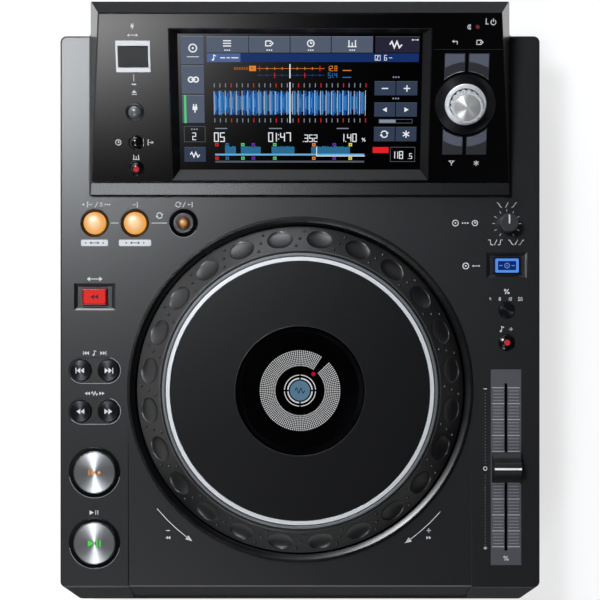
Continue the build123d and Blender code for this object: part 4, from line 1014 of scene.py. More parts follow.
def draw_number(sheet: Shaper, text: str, u: float, v: float, height: float, lift: float = 0.0,
                weight: float = 0.15) -> None:
    """Draws a number in plain bar digits.

    Args:
        sheet: The piece that takes its shapes.
        text: Digits, points and colons.
        u: Left edge of the number.
        v: Foot of the number.
        height: Height of a digit.
        lift: Height of its foot above the face.
        weight: Width of its bars, as a share of the height.
    """
    width = 0.5 * height
    bar = weight * height
    for sign in text:
        if sign in ".:":
            for level in ((0.0,) if sign == "." else (0.25, 0.7)):
                sheet.bar(u, u + bar, v + level * height, v + level * height + bar, lift)
            u += 2.2 * bar
            continue
        if sign == " ":
            u += width
            continue
        u -= 0.45 * width if sign == "1" else 0.0
        for segment in DIGITS[sign]:
            (x0, y0), (x1, y1) = SEGMENTS[segment]
            inset = bar / 2
            a = (u + inset + x0 * (width - bar), v + inset + y0 * (height - bar))
            b = (u + inset + x1 * (width - bar), v + inset + y1 * (height - bar))
            if y0 == y1:
                sheet.bar(a[0] - inset, b[0] + inset, a[1] - inset, a[1] + inset, lift)
            else:
                low, high = sorted((a[1], b[1]))
                sheet.bar(a[0] - inset, a[0] + inset, low, high, lift)
        u += width + 1.2 * bar


# ---- the finishes in use

DECK_PLASTIC = MouldedPlastic("abs_spark_grain_black", "18181a", "1e1e21", 0.315, 0.7, 0.005, end_mm=178.6)
HOUSING_PLASTIC = MouldedPlastic("abs_satin_black", "18181a", "1c1c1f", 0.25, 0.8, 0.004, 0.5, 0.4, 178.6)
UNDER_PLASTIC = MouldedPlastic("abs_spark_grain_under", "161618", "1b1b1d", 0.55, 0.9, 0.02)
BEZEL_PLASTIC = MouldedPlastic("abs_matt_bezel", "08080a", "0c0c0e", 0.36, 0.6, 0.005, level=0.3)
CAP_PLASTIC = MouldedPlastic("abs_soft_touch_cap", "101013", "151518", 0.42, 0.5, 0.005, 0.3)
KNOB_PLASTIC = MouldedPlastic("abs_knob_grey", "2a2a2d", "303033", 0.34, 0.5, 0.005, 0.4)
PLATE_LACQUER = MouldedPlastic("lacquered_plate_matt", "08080a", "0c0c0e", 0.3, 0.5, 0.004, 0.3, 0.35)
FADER_LACQUER = MouldedPlastic("lacquered_steel_grey", "47474c", "4e4e53", 0.4, 0.6, 0.006, 0.2)
REAR_LACQUER = MouldedPlastic("lacquered_steel_black", "131315", "18181a", 0.5, 0.6, 0.01, 0.3)
NYLON_BLACK = MouldedPlastic("nylon_moulded_black", "101012", "161618", 0.5, 0.6, 0.008, 0.2)
KEY_GREY = MouldedPlastic("abs_key_grey", "24252a", "2a2b30", 0.34, 0.5, 0.005, 0.3)
KEY_SLATE = MouldedPlastic("abs_key_slate", "505462", "595d6b", 0.36, 0.5, 0.005, 0.1)
GLOSS_BLACK = PolishedPlastic("acrylic_gloss_black")
GLASS_BLACK = PolishedPlastic("touch_glass_black", "030304", 0.05, 0.1)
GLASS_COATED = PolishedPlastic("display_glass_coated", "030304", 0.05, 0.1, 0.12)
RIM_SATIN = MouldedPlastic("polycarbonate_satin_rim", "0b0b0d", "0f0f11", 0.36, 0.5, 0.004, 0.4, 0.85)
BAND_GREY = SatinMetal("aluminium_anodised_grey", "77797d", 0.34, metallic=0.5)
WELL_GLOSS = PolishedPlastic("lacquered_dish_black", "050506", 0.24, 0.4)
DOME_BLACK = PolishedPlastic("acrylic_dome_black", "0a0a0b", 0.12, 0.2)
DOME_GREY = SatinMetal("abs_dome_grey", "6a6c70", 0.3, metallic=0.4)
SILVER = SatinMetal("aluminium_anodised_silver")
TRIM_SILVER = SatinMetal("silver_lacquer_bright", "e4e5e8", 0.3, metallic=0.35)
ZINC = SatinMetal("steel_zinc_plated", "8e9094", 0.38)
NICKEL = SatinMetal("brass_nickel_plated", "b9b9b7", 0.18)
GOLD = SatinMetal("copper_gold_plated", "d9a441", 0.22)
SCREW_BLACK = SatinMetal("steel_blackened", "3a3a3d", 0.35)
RUBBER = SoftRubber("rubber_moulded_black")
BOARD = BoardMask("fibreglass_green_mask")
LENS = ClearWindow("polycarbonate_clear")
INK = PrintInk("screen_print_white")
INK_DIM = PrintInk("screen_print_grey", "77787d", "85868b")
INK_LIGHT = PrintInk("screen_print_light", "a6a7aa", "b2b3b6")
INK_TICK = PrintInk("screen_print_tick", "7c7c82", "88888e")
INK_DARK = PrintInk("screen_print_black", "0c0c0e", "101012")
RED_LAMP = LitColour("lamp_red", "bc2f3a", 0.9)
RED_DIM = LitColour("lamp_red_dim", "8a2430", 0.8)
ORANGE_LAMP = LitColour("lamp_orange", "f0963a", 1.0)
GREEN_LAMP = LitColour("lamp_green", "4ed848", 1.0)
PAPER = StudioPaper("paper_white")


@dataclass
class Shell:
    """Covers, display housing, gloss plate, rear plate, boards and feet."""

    def build(self) -> None:
        """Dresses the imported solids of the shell."""
        for finish, *names in (
                (DECK_PLASTIC, "top_cover"), (UNDER_PLASTIC, "bottom_cover"), (HOUSING_PLASTIC, "display_housing"),
                (GLOSS_BLACK, "gloss_panel"), (BEZEL_PLASTIC, "display_bezel"), (REAR_LACQUER, "rear_panel"),
                (RUBBER, "feet"), (BOARD, "main_board", "key_boards", "power_supply"),
                (NYLON_BLACK, "tact_switches", "fader_body", "speed_pot", "selector_encoder", "ac_inlet", "lcd_module"),
                (ZINC, "cover_screws", "jog_post", "jog_bearing"),
                (NICKEL, "usb_a_socket", "lan_socket", "usb_b_socket", "phono_sockets"),
                (CAP_PLASTIC, "power_rocker")):
            dress(finish, *names)


@dataclass
class DeckPrint:
    """White signs and lines printed on the deck."""

    left_x: float = -130.8
    right_x: float = 131.7
    loop_y: float = 53.2
    loop_signs_y: float = 65.0
    tags: tuple[Point, ...] = ((-130.9, 17.2), (-105.1, 20.5))
    tags_y: float = 40.6
    scale_x: float = 118.0
    jog_arc: float = 118.6
    line: float = 0.45

    def build(self) -> None:
        """Prints every sign."""
        ink = Shaper("deck_print", DECK, INK, height=FILM)
        self.loop_signs(ink)
        self.left_signs(ink)
        self.right_signs(ink)
        self.jog_arrows(ink)
        ink.piece()
        self.loop_tags()

    def loop_signs(self, ink: Shaper) -> None:
        """Prints the signs above the loop buttons and the line between them.

        Args:
            ink: The piece that takes the shapes.
        """
        ink.disc(self.left_x - 7.2, self.loop_signs_y, 0.6, sides=16)
        draw_number(ink, "8", self.left_x + 3.4, 63.5, 3.0)
        draw_row(ink, self.left_x, self.loop_signs_y, (Symbol.IN, -3.0, 3.6), (Symbol.SLASH, 1.2, 3.6),
                 (Symbol.DOTS, 8.2, 4.0), (Symbol.OUT, 25.6, 3.6))
        draw_row(ink, 0.0, self.loop_signs_y, (Symbol.LOOP, -77.6, 4.0), (Symbol.SLASH, -73.8, 3.6),
                 (Symbol.OUT, -70.2, 3.4))
        Symbol.LOOP.draw(ink, -89.5, 58.0, 4.4)
        for start, stop in ((-120.4, -115.6), (-94.6, -84.7)):
            ink.bar(start, stop, self.loop_y - self.line / 2, self.loop_y + self.line / 2)

    def loop_tags(self) -> None:
        """Prints the two small white tags below the loop buttons."""
        tags = Shaper("loop_tags", DECK, INK, height=FILM)
        signs = Shaper("loop_tag_signs", DECK, INK_DARK, height=0.03)
        for middle, width in self.tags:
            tags.pill(middle, self.tags_y, width, 4.1, 0.9)
            Symbol.SWAP.draw(signs, middle, self.tags_y, 3.2, 0.14, FILM)
            for side in (-1, 1):
                signs.disc(middle + side * 5.6, self.tags_y, 0.5, FILM, 16)
        tags.piece()
        signs.piece()

    def left_signs(self, ink: Shaper) -> None:
        """Prints the signs above the left wing's buttons.

        Args:
            ink: The piece that takes the shapes.
        """
        for v, *signs in ((17.6, (Symbol.SWAP, 0.0, 5.0, 0.11)),
                          (-29.6, (Symbol.SKIP_BACK, -5.2, 3.2), (Symbol.NOTE, 0.0, 3.6), (Symbol.SKIP_ON, 5.2, 3.2)),
                          (-55.3, (Symbol.REWIND, -4.6, 3.0), (Symbol.WAVE, 0.0, 3.6), (Symbol.FAST, 4.6, 3.0)),
                          (-131.2, (Symbol.PLAY_PAUSE, 0.0, 3.4))):
            draw_row(ink, self.left_x, v, *signs)

    def right_signs(self, ink: Shaper) -> None:
        """Prints the signs of the right wing.

        Args:
            ink: The piece that takes the shapes.
        """
        for v, *signs in ((64.7, (Symbol.FALL_SOFT, -4.6, 3.2), (Symbol.SLASH, 0.0, 3.4), (Symbol.RISE_SOFT, 4.6, 3.2)),
                          (9.6, (Symbol.PERCENT, 0.0, 3.6)),
                          (-14.4, (Symbol.NOTE, -3.0, 4.0), (Symbol.PLUS, 2.8, 3.0))):
            draw_row(ink, self.right_x, v, *signs)
        draw_row(ink, 0.0, 53.2, (Symbol.WHEEL, 99.0, 4.4), (Symbol.DOTS, 105.2, 4.6), (Symbol.CLOCK, 111.4, 4.2))
        draw_row(ink, 0.0, 25.9, (Symbol.WHEEL, 105.6, 4.4), (Symbol.SWAP, 112.2, 2.6, 0.16))
        for u, sign in ((121.6, Symbol.FALL_SHARP), (124.6, Symbol.SLASH), (127.4, Symbol.RISE_SHARP),
                        (134.6, Symbol.FALL_SOFT), (137.8, Symbol.SLASH), (140.9, Symbol.RISE_SOFT)):
            sign.draw(ink, u, 40.9, 3.4, 0.12)
        for index, text in enumerate(("4", "8", "12", "50")):
            draw_number(ink, text, 120.6 + 6.1 * index, 3.7, 2.3)
        Symbol.MINUS.draw(ink, self.scale_x, -52.4, 2.6, 0.2)
        ink.arc(self.scale_x, -103.1, 1.1, 0.5, 0, 360)
        Symbol.PLUS.draw(ink, self.scale_x, -153.8, 2.6, 0.2)

    def jog_arrows(self, ink: Shaper) -> None:
        """Prints the two turning arrows beside the wheel.

        Args:
            ink: The piece that takes the shapes.
        """
        for start, stop, tip, turn in ((219.9, 233.0, 234.6, 1), (305.9, 318.9, 304.3, -1)):
            ink.arc(0, JOG_Y, self.jog_arc, self.line, start, stop)
            back = tip - turn * 2.0
            ink.polygon([polar(self.jog_arc + side, math.radians(angle), 0, JOG_Y)
                         for side, angle in ((0.0, tip), (-1.6, back), (1.6, back))])
        for u, sign, way in ((-84.1, Symbol.MINUS, Symbol.REWIND), (82.0, Symbol.PLUS, Symbol.FAST)):
            sign.draw(ink, u, -142.6, 3.4, 0.14)
            way.draw(ink, u, -147.2, 2.8)


@dataclass
class PanelPrint:
    """Signs, seam and lamp on the gloss plate."""

    side_u: float = 102.9
    lamp: Point = (109.0, 97.8)

    def build(self) -> None:
        """Prints the signs and sets the lamp in."""
        ink = Shaper("panel_print", PANEL, INK, height=FILM)
        for sign, *place in ((Symbol.PLUG, -self.side_u, 98.2, 3.6), (Symbol.SWAP, -self.side_u, 92.8, 3.4, 0.12),
                             (Symbol.EJECT, -self.side_u, 57.2, 3.8), (Symbol.CLOCK, -113.8, 26.0, 4.2),
                             (Symbol.IN, -93.4, 26.0, 3.8), (Symbol.GRID, -self.side_u, 16.6, 3.8),
                             (Symbol.MOON, 104.2, 97.8, 3.6), (Symbol.POWER, 118.5, 100.8, 4.2, 0.11),
                             (Symbol.RETURN, 95.3, 88.4, 3.6), (Symbol.TAG, 110.6, 88.4, 4.2),
                             (Symbol.FUNNEL, 95.2, 12.8, 3.8), (Symbol.STAR, 110.8, 12.8, 3.8)):
            sign.draw(ink, *place)
        for edges in ((-103.1, -102.7, 64.3, 68.6), (-104.3, -101.5, 62.1, 62.9), (-98.2, -97.9, 23.6, 28.4)):
            ink.bar(*edges)
        ink.stroke([(114.0, 103.0), (114.0, 99.6), (115.6, 99.6)], 0.45)
        ink.piece()
        seam = Shaper("panel_seam", PANEL, INK_DARK, height=0.04)
        seam.bar(82.4, 126.0, 83.9, 84.2)
        seam.piece()
        turned("standby_lamp", PANEL, RED_DIM, self.lamp, [
            (0, -0.3), (1.0, -0.3), (1.0, 0.15), (0.7, 0.4), (0, 0.5)], segments=24)
        turned("standby_lamp_ring", PANEL, BEZEL_PLASTIC, self.lamp, [
            (1.0, -0.2), (1.5, -0.2), (1.5, 0.2), (1.0, 0.25)], segments=24)


@dataclass
class LoopButtons:
    """Lit loop caps, the reloop dome and their rings."""

    loops: tuple[Point, ...] = ((-130.8, 53.2), (-105.2, 53.2))
    reloop: Point = (-74.2, 53.2)
    top: float = 1.4

    def build(self) -> None:
        """Dresses the caps and adds what stands on them."""
        for name, (x, y) in zip(("loop_in_button", "loop_out_button"), self.loops):
            cap = LitCap(f"acrylic_lit_{name}", (x, y, DECK_Z + self.top), 7.4, "ffd7a0", "f0a13a")
            dress(cap, name)
            turned(f"{name}_crown", DECK, cap, (x, y), [
                (0, 1.3), (6.2, 1.3), (6.2, 1.42), (5.4, 1.7), (3.6, 1.95), (1.8, 2.08), (0, 2.1)],
                f"{name}_body", "button_orange")
        dress(DOME_BLACK, "button_bezels")
        dress(MouldedPlastic("abs_ring_black", "161618", "1b1b1e", 0.3), "reloop_button")
        amber = LitCap("acrylic_smoked_amber", (*self.reloop, DECK_Z + 3.0), 3.1, "c88f48", "0c0806", 0.9)
        turned("reloop_dome", DECK, amber, self.reloop, [
            (0, 1.3), (4.4, 1.3), (4.4, 1.5), (3.9, 2.1), (2.9, 2.6), (1.5, 2.9), (0, 3.0)],
            "reloop_button_body", "button_black")
        turned("reloop_lip", DECK, BAND_GREY, self.reloop, [
            (5.9, 0.9), (6.42, 0.9), (6.42, 1.0), (6.0, 1.43), (5.9, 1.43)], "reloop_button_body", "button_black")
        # The grey arc round the lower side of the reloop surround is a painted highlight on its rim.
        edge = Shaper("reloop_surround_painted_highlight", DECK, INK_DIM, height=FILM)
        edge.arc(*self.reloop, 9.15, 0.4, 190, 330, 0.4)
        edge.piece()


@dataclass
class SkipButtons:
    """Small spun caps with their signs, and a painted highlight along the front and right edges of their surrounds."""

    left_x: float = -130.8
    spacing: float = 17.7
    surround_width: float = 33.1
    surround_depth: float = 16.6
    highlight_radius: float = 8.25
    highlight_width: float = 0.26
    rows: tuple[tuple[float, Symbol, Symbol, str], ...] = (
        (-40.7, Symbol.SKIP_BACK, Symbol.SKIP_ON, "track"), (-66.7, Symbol.REWIND, Symbol.FAST, "search"))

    def build(self) -> None:
        """Dresses each pair and prints its signs."""
        for y, back, forward, kind in self.rows:
            for side, sign, way in ((-1, back, "back"), (1, forward, "forward")):
                x = self.left_x + side * self.spacing / 2
                name = f"{kind}_{way}_button"
                dress(SpunMetal(f"aluminium_spun_black_{name}", (x, y, DECK_Z), colour="26262a",
                                roughness=0.3, anisotropy=0.8), name)
                ink = Shaper(f"{name}_sign", DECK, INK, f"{name}_body", 0.04, "button_black")
                sign.draw(ink, x, y, 4.6, 0.13, KEY_TOP)
                ink.piece()
            self.surround(y, kind)

    def surround(self, y: float, kind: str) -> None:
        """Paints a thin pale line along the front and right edges of one pair's sunken surround, as a painted
        highlight.

        Args:
            y: The pair's place on the deck.
            kind: The pair's name.
        """
        # The pale line is a painted highlight. It runs only along the front and right edges, where light catches the
        # rim.
        edge = Shaper(f"{kind}_surround_painted_highlight", DECK, INK_LIGHT, height=FILM)
        half = (self.surround_width - self.surround_depth) / 2
        left, right, front = self.left_x - half, self.left_x + half, y - self.highlight_radius
        for middle, start, stop in ((right, -90, 80), (left, 215, 270)):
            edge.arc(middle, y, self.highlight_radius, self.highlight_width, start, stop, -0.02)
        edge.bar(left, right, front - self.highlight_width / 2, front + self.highlight_width / 2, -0.02)
        edge.piece()


@dataclass
class TransportButtons:
    """The two large spun caps with their lit signs."""

    left_x: float = -130.8
    cue_y: float = -105.6
    play_y: float = -150.7

    def build(self) -> None:
        """Dresses the caps and lights their signs."""
        for name, y in (("cue_button", self.cue_y), ("play_button", self.play_y)):
            dress(SpunMetal(f"steel_spun_{name}", (self.left_x, y, DECK_Z), colour="a9aaad", roughness=0.4,
                            metallic=0.86), name)
            # The grey arc round the lower side of each surround is a painted highlight on its rim.
            ring = Shaper(f"{name}_surround_painted_highlight", DECK, INK_DIM, height=FILM)
            ring.arc(self.left_x, y, 16.25, 0.4, 190, 350, 0.4)
            ring.piece()
            turned(f"{name}_edge", DECK, DOME_BLACK, (self.left_x, y), [
                (12.8, 1.0), (13.45, 1.0), (13.45, 1.1), (13.0, 1.45), (12.8, 1.45)], f"{name}_body",
                "button_black", 64)
        cue = Shaper("cue_sign", DECK, ORANGE_LAMP, "cue_button_body", 0.04, "button_orange")
        x, y = self.left_x, self.cue_y
        cue.stroke([(x - 3.4, y + 1.7), (x - 3.4, y - 1.7)], 0.7, KEY_TOP)
        cue.polygon([(x - 2.2, y + 1.6), (x - 2.2, y - 1.6), (x + 0.7, y)], KEY_TOP)
        cue.disc(x + 2.9, y, 1.1, KEY_TOP, 24)
        cue.piece()
        play = Shaper("play_sign", DECK, GREEN_LAMP, "play_button_body", 0.04)
        Symbol.PLAY_PAUSE.draw(play, x + 0.6, self.play_y, 5.0, 0.2, KEY_TOP)
        play.piece()


@dataclass
class KeyCaps:
    """The two square keys in their sunken surrounds."""

    direction: Point = (-130.8, 6.2)
    mode: Point = (131.7, 26.1)
    chamfer: float = 1.5

    def build(self) -> None:
        """Dresses the keys and lights their faces."""
        dress(PolishedPlastic("acrylic_red", "8e0f12", 0.12), "direction_key")
        face = self.layer("direction_key_face", LitColour("lamp_red_deep", "e0342f", 0.95), 0.06)
        face.pill(*self.direction, 13.6, 8.6, 0.9, KEY_TOP)
        face.piece()
        sign = self.layer("direction_key_sign", INK_DARK, 0.04)
        Symbol.REWIND.draw(sign, *self.direction, 4.6, 0.13, 1.46)
        sign.piece()
        self.chamfers()
        dress(PolishedPlastic("acrylic_blue", "10295e", 0.12), "jog_mode_key")
        frame = self.layer("jog_mode_key_frame", LitColour("lamp_blue_pale", "5a92ea", 0.95), 0.06)
        frame.pill(*self.mode, 14.9, 8.9, 0.9, KEY_TOP)
        frame.piece()
        middle = self.layer("jog_mode_key_middle", LitColour("lamp_blue_deep", "0a2a72", 0.9), 0.05)
        middle.pill(*self.mode, 11.6, 5.8, 0.5, 1.46)
        middle.piece()
        sign = self.layer("jog_mode_key_sign", LitColour("lamp_blue_white", "6f96d8", 0.9), 0.04)
        Symbol.WHEEL.draw(sign, *self.mode, 3.6, 0.13, 1.51)
        x, y = self.mode
        for side in (-1, 1):
            sign.bar(x + side * 3.9 - 1.0, x + side * 3.9 + 1.0, y - 0.25, y + 0.25, 1.51)
        sign.piece()

    def layer(self, name: str, finish: Finish, height: float) -> Shaper:
        """Starts one layer of a key's face."""
        key, slot = ("direction_key", "button_red") if name.startswith("direction") else ("jog_mode_key", "button_blue")
        return Shaper(name, DECK, finish, f"{key}_body", height, slot)

    def chamfers(self) -> None:
        """Adds the shallow chamfers at the front and right edges of the two recesses."""
        for name, (x, y), (wide, deep) in (("direction_key", self.direction, (26.2, 17.4)),
                                           ("jog_mode_key", self.mode, (25.8, 17.0))):
            left, right, front, rear = x - wide / 2, x + wide / 2, y - deep / 2, y + deep / 2
            cut = self.chamfer
            chamfer = Shaper(f"{name}_recess_chamfers", DECK, DECK_PLASTIC)
            slabs = (([(left, front), (right, front), (right - cut, front + cut), (left + cut, front + cut)], 0.22),
                     ([(right, front), (right, rear), (right - cut, rear - cut), (right - cut, front + cut)], 0.36))
            for corners, drop in slabs:
                tops = [(*corner, level) for corner, level in zip(corners, (0.03, 0.03, -drop, -drop))]
                feet = [(*corner, -1.3) for corner in corners]
                sides = [(i, (i + 1) % 4, 4 + (i + 1) % 4, 4 + i) for i in range(4)]
                chamfer.add(feet + tops, [(3, 2, 1, 0), (4, 5, 6, 7), *sides])
            chamfer.piece()


@dataclass
class TempoSide:
    """Speed knob, two small buttons, and the long fader."""

    right_x: float = 131.7
    knob_y: float = 52.9
    range_y: float = -2.4
    master_y: float = -22.9
    fader_x: float = 131.2
    fader_y: float = -102.3
    plate: Point = (9.7, 62.35)
    plate_gap: float = 0.5
    dots_x: float = 118.0
    tick_pitch: float = 2.025
    cap_half: float = 9.3
    cap_draft: float = 0.75
    ticks: int = 51

    def build(self) -> None:
        """Builds the side from back to front."""
        self.knob()
        self.small_buttons()
        self.fader_scale()
        self.fader_cap()

    def knob(self) -> None:
        """Ribs the knob, sets its pointer in and prints its scale."""
        dress(KNOB_PLASTIC, "speed_knob")
        place = turned_place(DECK, self.right_x, self.knob_y, 6.6)
        ribs = Repeat(Layout.RING, 22, radius=5.66, size=(0.5, 0.8, 11.0)).mesh(place, KNOB_PLASTIC)
        finish_piece(ribs, "speed_knob_ribs", "speed_dial")
        pointer = Shaper("speed_knob_pointer", DECK, INK, "speed_dial", FILM, "cap_black")
        left, right, end = self.right_x - 0.45, self.right_x + 0.45, self.knob_y + 5.0
        pointer.bar(left, right, self.knob_y - 0.6, end, 13.1)
        pointer.bar(left, right, end, self.knob_y + 5.7, 12.2)
        pointer.piece()
        place = turned_place(DECK, self.right_x, self.knob_y, 0.025)
        scale = Repeat(Layout.RING, 11, radius=8.3, start=-60.0, sweep=300.0, size=(1.7, 0.36, 0.05))
        finish_piece(scale.mesh(place, INK), "speed_knob_scale")

    def small_buttons(self) -> None:
        """Dresses the range and master tempo buttons."""
        dress(SpunMetal("aluminium_spun_black_range", (self.right_x, self.range_y, DECK_Z), colour="1e1e22",
                        roughness=0.3, anisotropy=0.8), "tempo_range_button")
        dress(DOME_BLACK, "master_tempo_button")
        middle, body = (self.right_x, self.master_y), "master_tempo_button_body"
        turned("master_tempo_dome", DECK, DOME_BLACK, middle, [
            (0, 1.3), (4.3, 1.3), (4.3, 1.45), (3.4, 1.85), (2.0, 2.1), (0, 2.2)], body, "button_black")
        turned("master_tempo_lamp", DECK, RED_LAMP, middle, [
            (0, 1.9), (1.9, 1.9), (1.9, 2.12), (1.2, 2.32), (0, 2.45)], body, "button_red", 24)

    def marks(self, name: str, finish: Finish, row: Repeat, starts: Sequence[Point], lift: float) -> None:
        """Prints one row of marks, which runs away from the user, from several starts."""
        meshes = [row.mesh(turned_place(DECK, *start, lift, 90), finish) for start in starts]
        finish_piece(join_meshes(meshes), name)

    def fader_scale(self) -> None:
        """Prints the fader's ticks on its plate and its dots beside it, and paints a thin line of shade round the
        plate.
        """
        dress(FADER_LACQUER, "fader_plate")
        low = self.fader_y - self.tick_pitch * (self.ticks - 1) / 2
        columns = [(self.fader_x + side * 4.9, low) for side in (-1, 1)]
        self.marks("fader_ticks", INK_TICK,
                   Repeat(Layout.ROW, self.ticks, self.tick_pitch, size=(0.5, 6.6, 0.04)), columns, 0.02)
        self.marks("fader_main_ticks", INK_LIGHT,
                   Repeat(Layout.ROW, 11, 5 * self.tick_pitch, size=(0.55, 7.8, 0.06)), columns, 0.03)
        self.marks("fader_dots", INK_DIM, Repeat(Layout.ROW, 23, 2.02, size=(0.5, 0.5, 0.04)),
                   ((self.dots_x, -151.6), (self.dots_x, -100.0)), 0.02)
        # The dark frame round the flush plate is painted shade. It stands in for the shadow in the gap between plate
        # and deck.
        gap = Shaper("fader_plate_gap_shade", DECK, INK_DARK, height=0.04)
        (wide, tall), line = self.plate, self.plate_gap
        for u0, u1, v0, v1 in ((-wide - line, -wide, -tall, tall), (wide, wide + line, -tall, tall),
                               (-wide, wide, -tall - line, -tall), (-wide, wide, tall, tall + line)):
            gap.bar(self.fader_x + u0, self.fader_x + u1, self.fader_y + v0, self.fader_y + v1)
        gap.piece()
        sign = Shaper("fader_plate_sign", DECK, INK, height=FILM)
        Symbol.PERCENT.draw(sign, self.fader_x, -160.3, 3.4)
        sign.piece()

    def fader_cap(self) -> None:
        """Makes the cap with its hollow slopes, narrower at the crown, and its white line."""
        slope = [(9.7, 0.8), (9.7, 2.3), (8.6, 2.9), (6.6, 4.4), (5.0, 7.0), (4.2, 10.2), (3.7, 11.5), (3.2, 11.8)]
        side = [(-v, h) for v, h in slope] + slope[::-1]
        cap = Shaper("fader_cap_moulding", DECK, CAP_PLASTIC, "fader_slider", slot="cap_black")
        points = [(self.fader_x + end * (self.cap_half - self.cap_draft * h / 11.8), self.fader_y + v, h)
                  for end in (-1, 1) for v, h in side]
        count = len(side)
        faces = [tuple(range(count)), tuple(reversed(range(count, 2 * count)))]
        faces += [(i, count + i, count + (i + 1) % count, (i + 1) % count) for i in range(count)]
        cap.add(points, faces)
        cap.bar(self.fader_x - 0.65, self.fader_x + 0.65, self.fader_y - 3, self.fader_y + 3, -8.0, 8.8)
        body = cap.piece(25)
        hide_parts("fader_cap")
        line = Shaper("fader_cap_line", DECK, PrintInk("inlay_white", "e8e8ea", "f4f4f5"), "fader_slider", 0.06,
                      "cap_black")
        line.bar(self.fader_x - 8.5, self.fader_x + 8.5, self.fader_y - 0.65, self.fader_y + 0.65, 11.8)
        line.piece()


@dataclass
class JogWheel:
    """Dish, rim with its small bumps, top plate, window and lit centre picture."""

    bump_rows: tuple[Point, ...] = ((91.0, 1.6), (95.7, 0.1), (100.4, -1.5))
    slope_start: Point = (88.7, 16.0)
    slope: float = 12.0 / 14.1
    dial_rows: int = 9
    dial_inner: float = 15.9
    dial_outer: float = 24.9

    def build(self) -> None:
        """Dresses the wheel and adds its bumps and picture."""
        dress(WELL_GLOSS, "jog_well")
        dress(RIM_SATIN, "jog_rim")
        dress(PLATE_LACQUER, "jog_plate")
        dress(TRIM_SILVER, "jog_trim_ring")
        dress(LENS, "jog_window")
        dress(GLASS_COATED, "jog_display")
        self.bumps()
        self.edges()
        self.picture()

    def bumps(self) -> None:
        """Sets the slanted rows of small bumps between the finger hollows."""
        meshes = []
        for radius, turn in self.bump_rows:
            height = self.slope_start[1] - (radius - self.slope_start[0]) * self.slope
            place = turned_place(DECK, 0, JOG_Y, height)
            meshes.append(Repeat(Layout.RING, 24, radius=radius, start=turn, size=(2.1, 2.1, 1.9),
                                 round_shape=True).mesh(place, RIM_SATIN))
        finish_piece(join_meshes(meshes), "jog_bumps", "jog_wheel")

    def edges(self) -> None:
        """Adds the grey band and the black groove at the top of the rim, and the thin line round the window."""
        middle = (0.0, JOG_Y)
        turned("jog_rim_band", DECK, BAND_GREY, middle, [
            (84.7, 17.9), (86.3, 17.9), (86.3, 18.05), (86.1, 18.2), (84.9, 18.2), (84.7, 18.05)],
            "jog_wheel", "rim_plastic", 160)
        turned("jog_rim_groove", DECK, INK_DARK, middle, [
            (86.4, 17.6), (87.6, 15.9), (87.6, 16.06), (86.75, 18.08), (86.4, 18.08)], "jog_wheel", "rim_plastic", 160)
        turned("jog_window_line", JOG_TOP, SCREW_BLACK, (0.0, 0.0), [
            (40.5, -0.1), (40.95, -0.1), (40.95, 0.04), (40.75, 0.1), (40.5, 0.04)], "jog_top", "plate_metal", 128)
        turned("jog_well_lip", DECK, WELL_GLOSS, middle, [
            (105.1, -1.4), (108.5, 0.5), (108.5, 0.88), (105.4, -0.12), (105.1, -0.3)],
            slot="well_metal", segments=160)

    def lit(self, part: str, colour: str, code: str, glow: float, height: float = FILM) -> Shaper:
        """Starts one lit part of the centre picture."""
        return Shaper(f"jog_picture_{part}", JOG_PICTURE, LitColour(f"picture_{colour}", code, glow),
                      height=height, slot="screen")

    def picture(self) -> None:
        """Lights the centre picture."""
        grey = LitColour("picture_grey", "dedede", 0.95)
        place = turned_place(JOG_PICTURE, 0, 0, 0.02)
        ticks = []
        for row in range(self.dial_rows):
            radius = self.dial_inner + (self.dial_outer - self.dial_inner) * row / (self.dial_rows - 1)
            ticks.append(Repeat(Layout.RING, 116, radius=radius, start=58.0, sweep=345.4,
                                size=(0.72, 0.028 * radius, 0.04)).mesh(place, grey))
        finish_piece(join_meshes(ticks), "jog_picture_dial")
        rings = self.lit("rings", "white", "e4e4e4", 0.85)
        for quarter in range(4):
            start = 90 * quarter + 3
            rings.arc(0, 0, 9.75, 0.5, start, start + 84)
            rings.arc(0, 0, 7.6, 0.85, start + 1, start + 83)
        rings.piece()
        disc = self.lit("disc", "blue_grey", "5f8199", 0.88)
        disc.disc(0, 0, 6.3, sides=64)
        disc.piece()
        waves = self.lit("waves", "navy", "1c3447", 0.8, 0.03)
        Symbol.WAVE.draw(waves, 0, 0, 5.4, 0.1, FILM)
        waves.piece()
        marker = self.lit("marker", "red", "a8142e", 0.95)
        marker.disc(*polar(13.4, math.radians(51)), 1.35, sides=24)
        marker.piece()


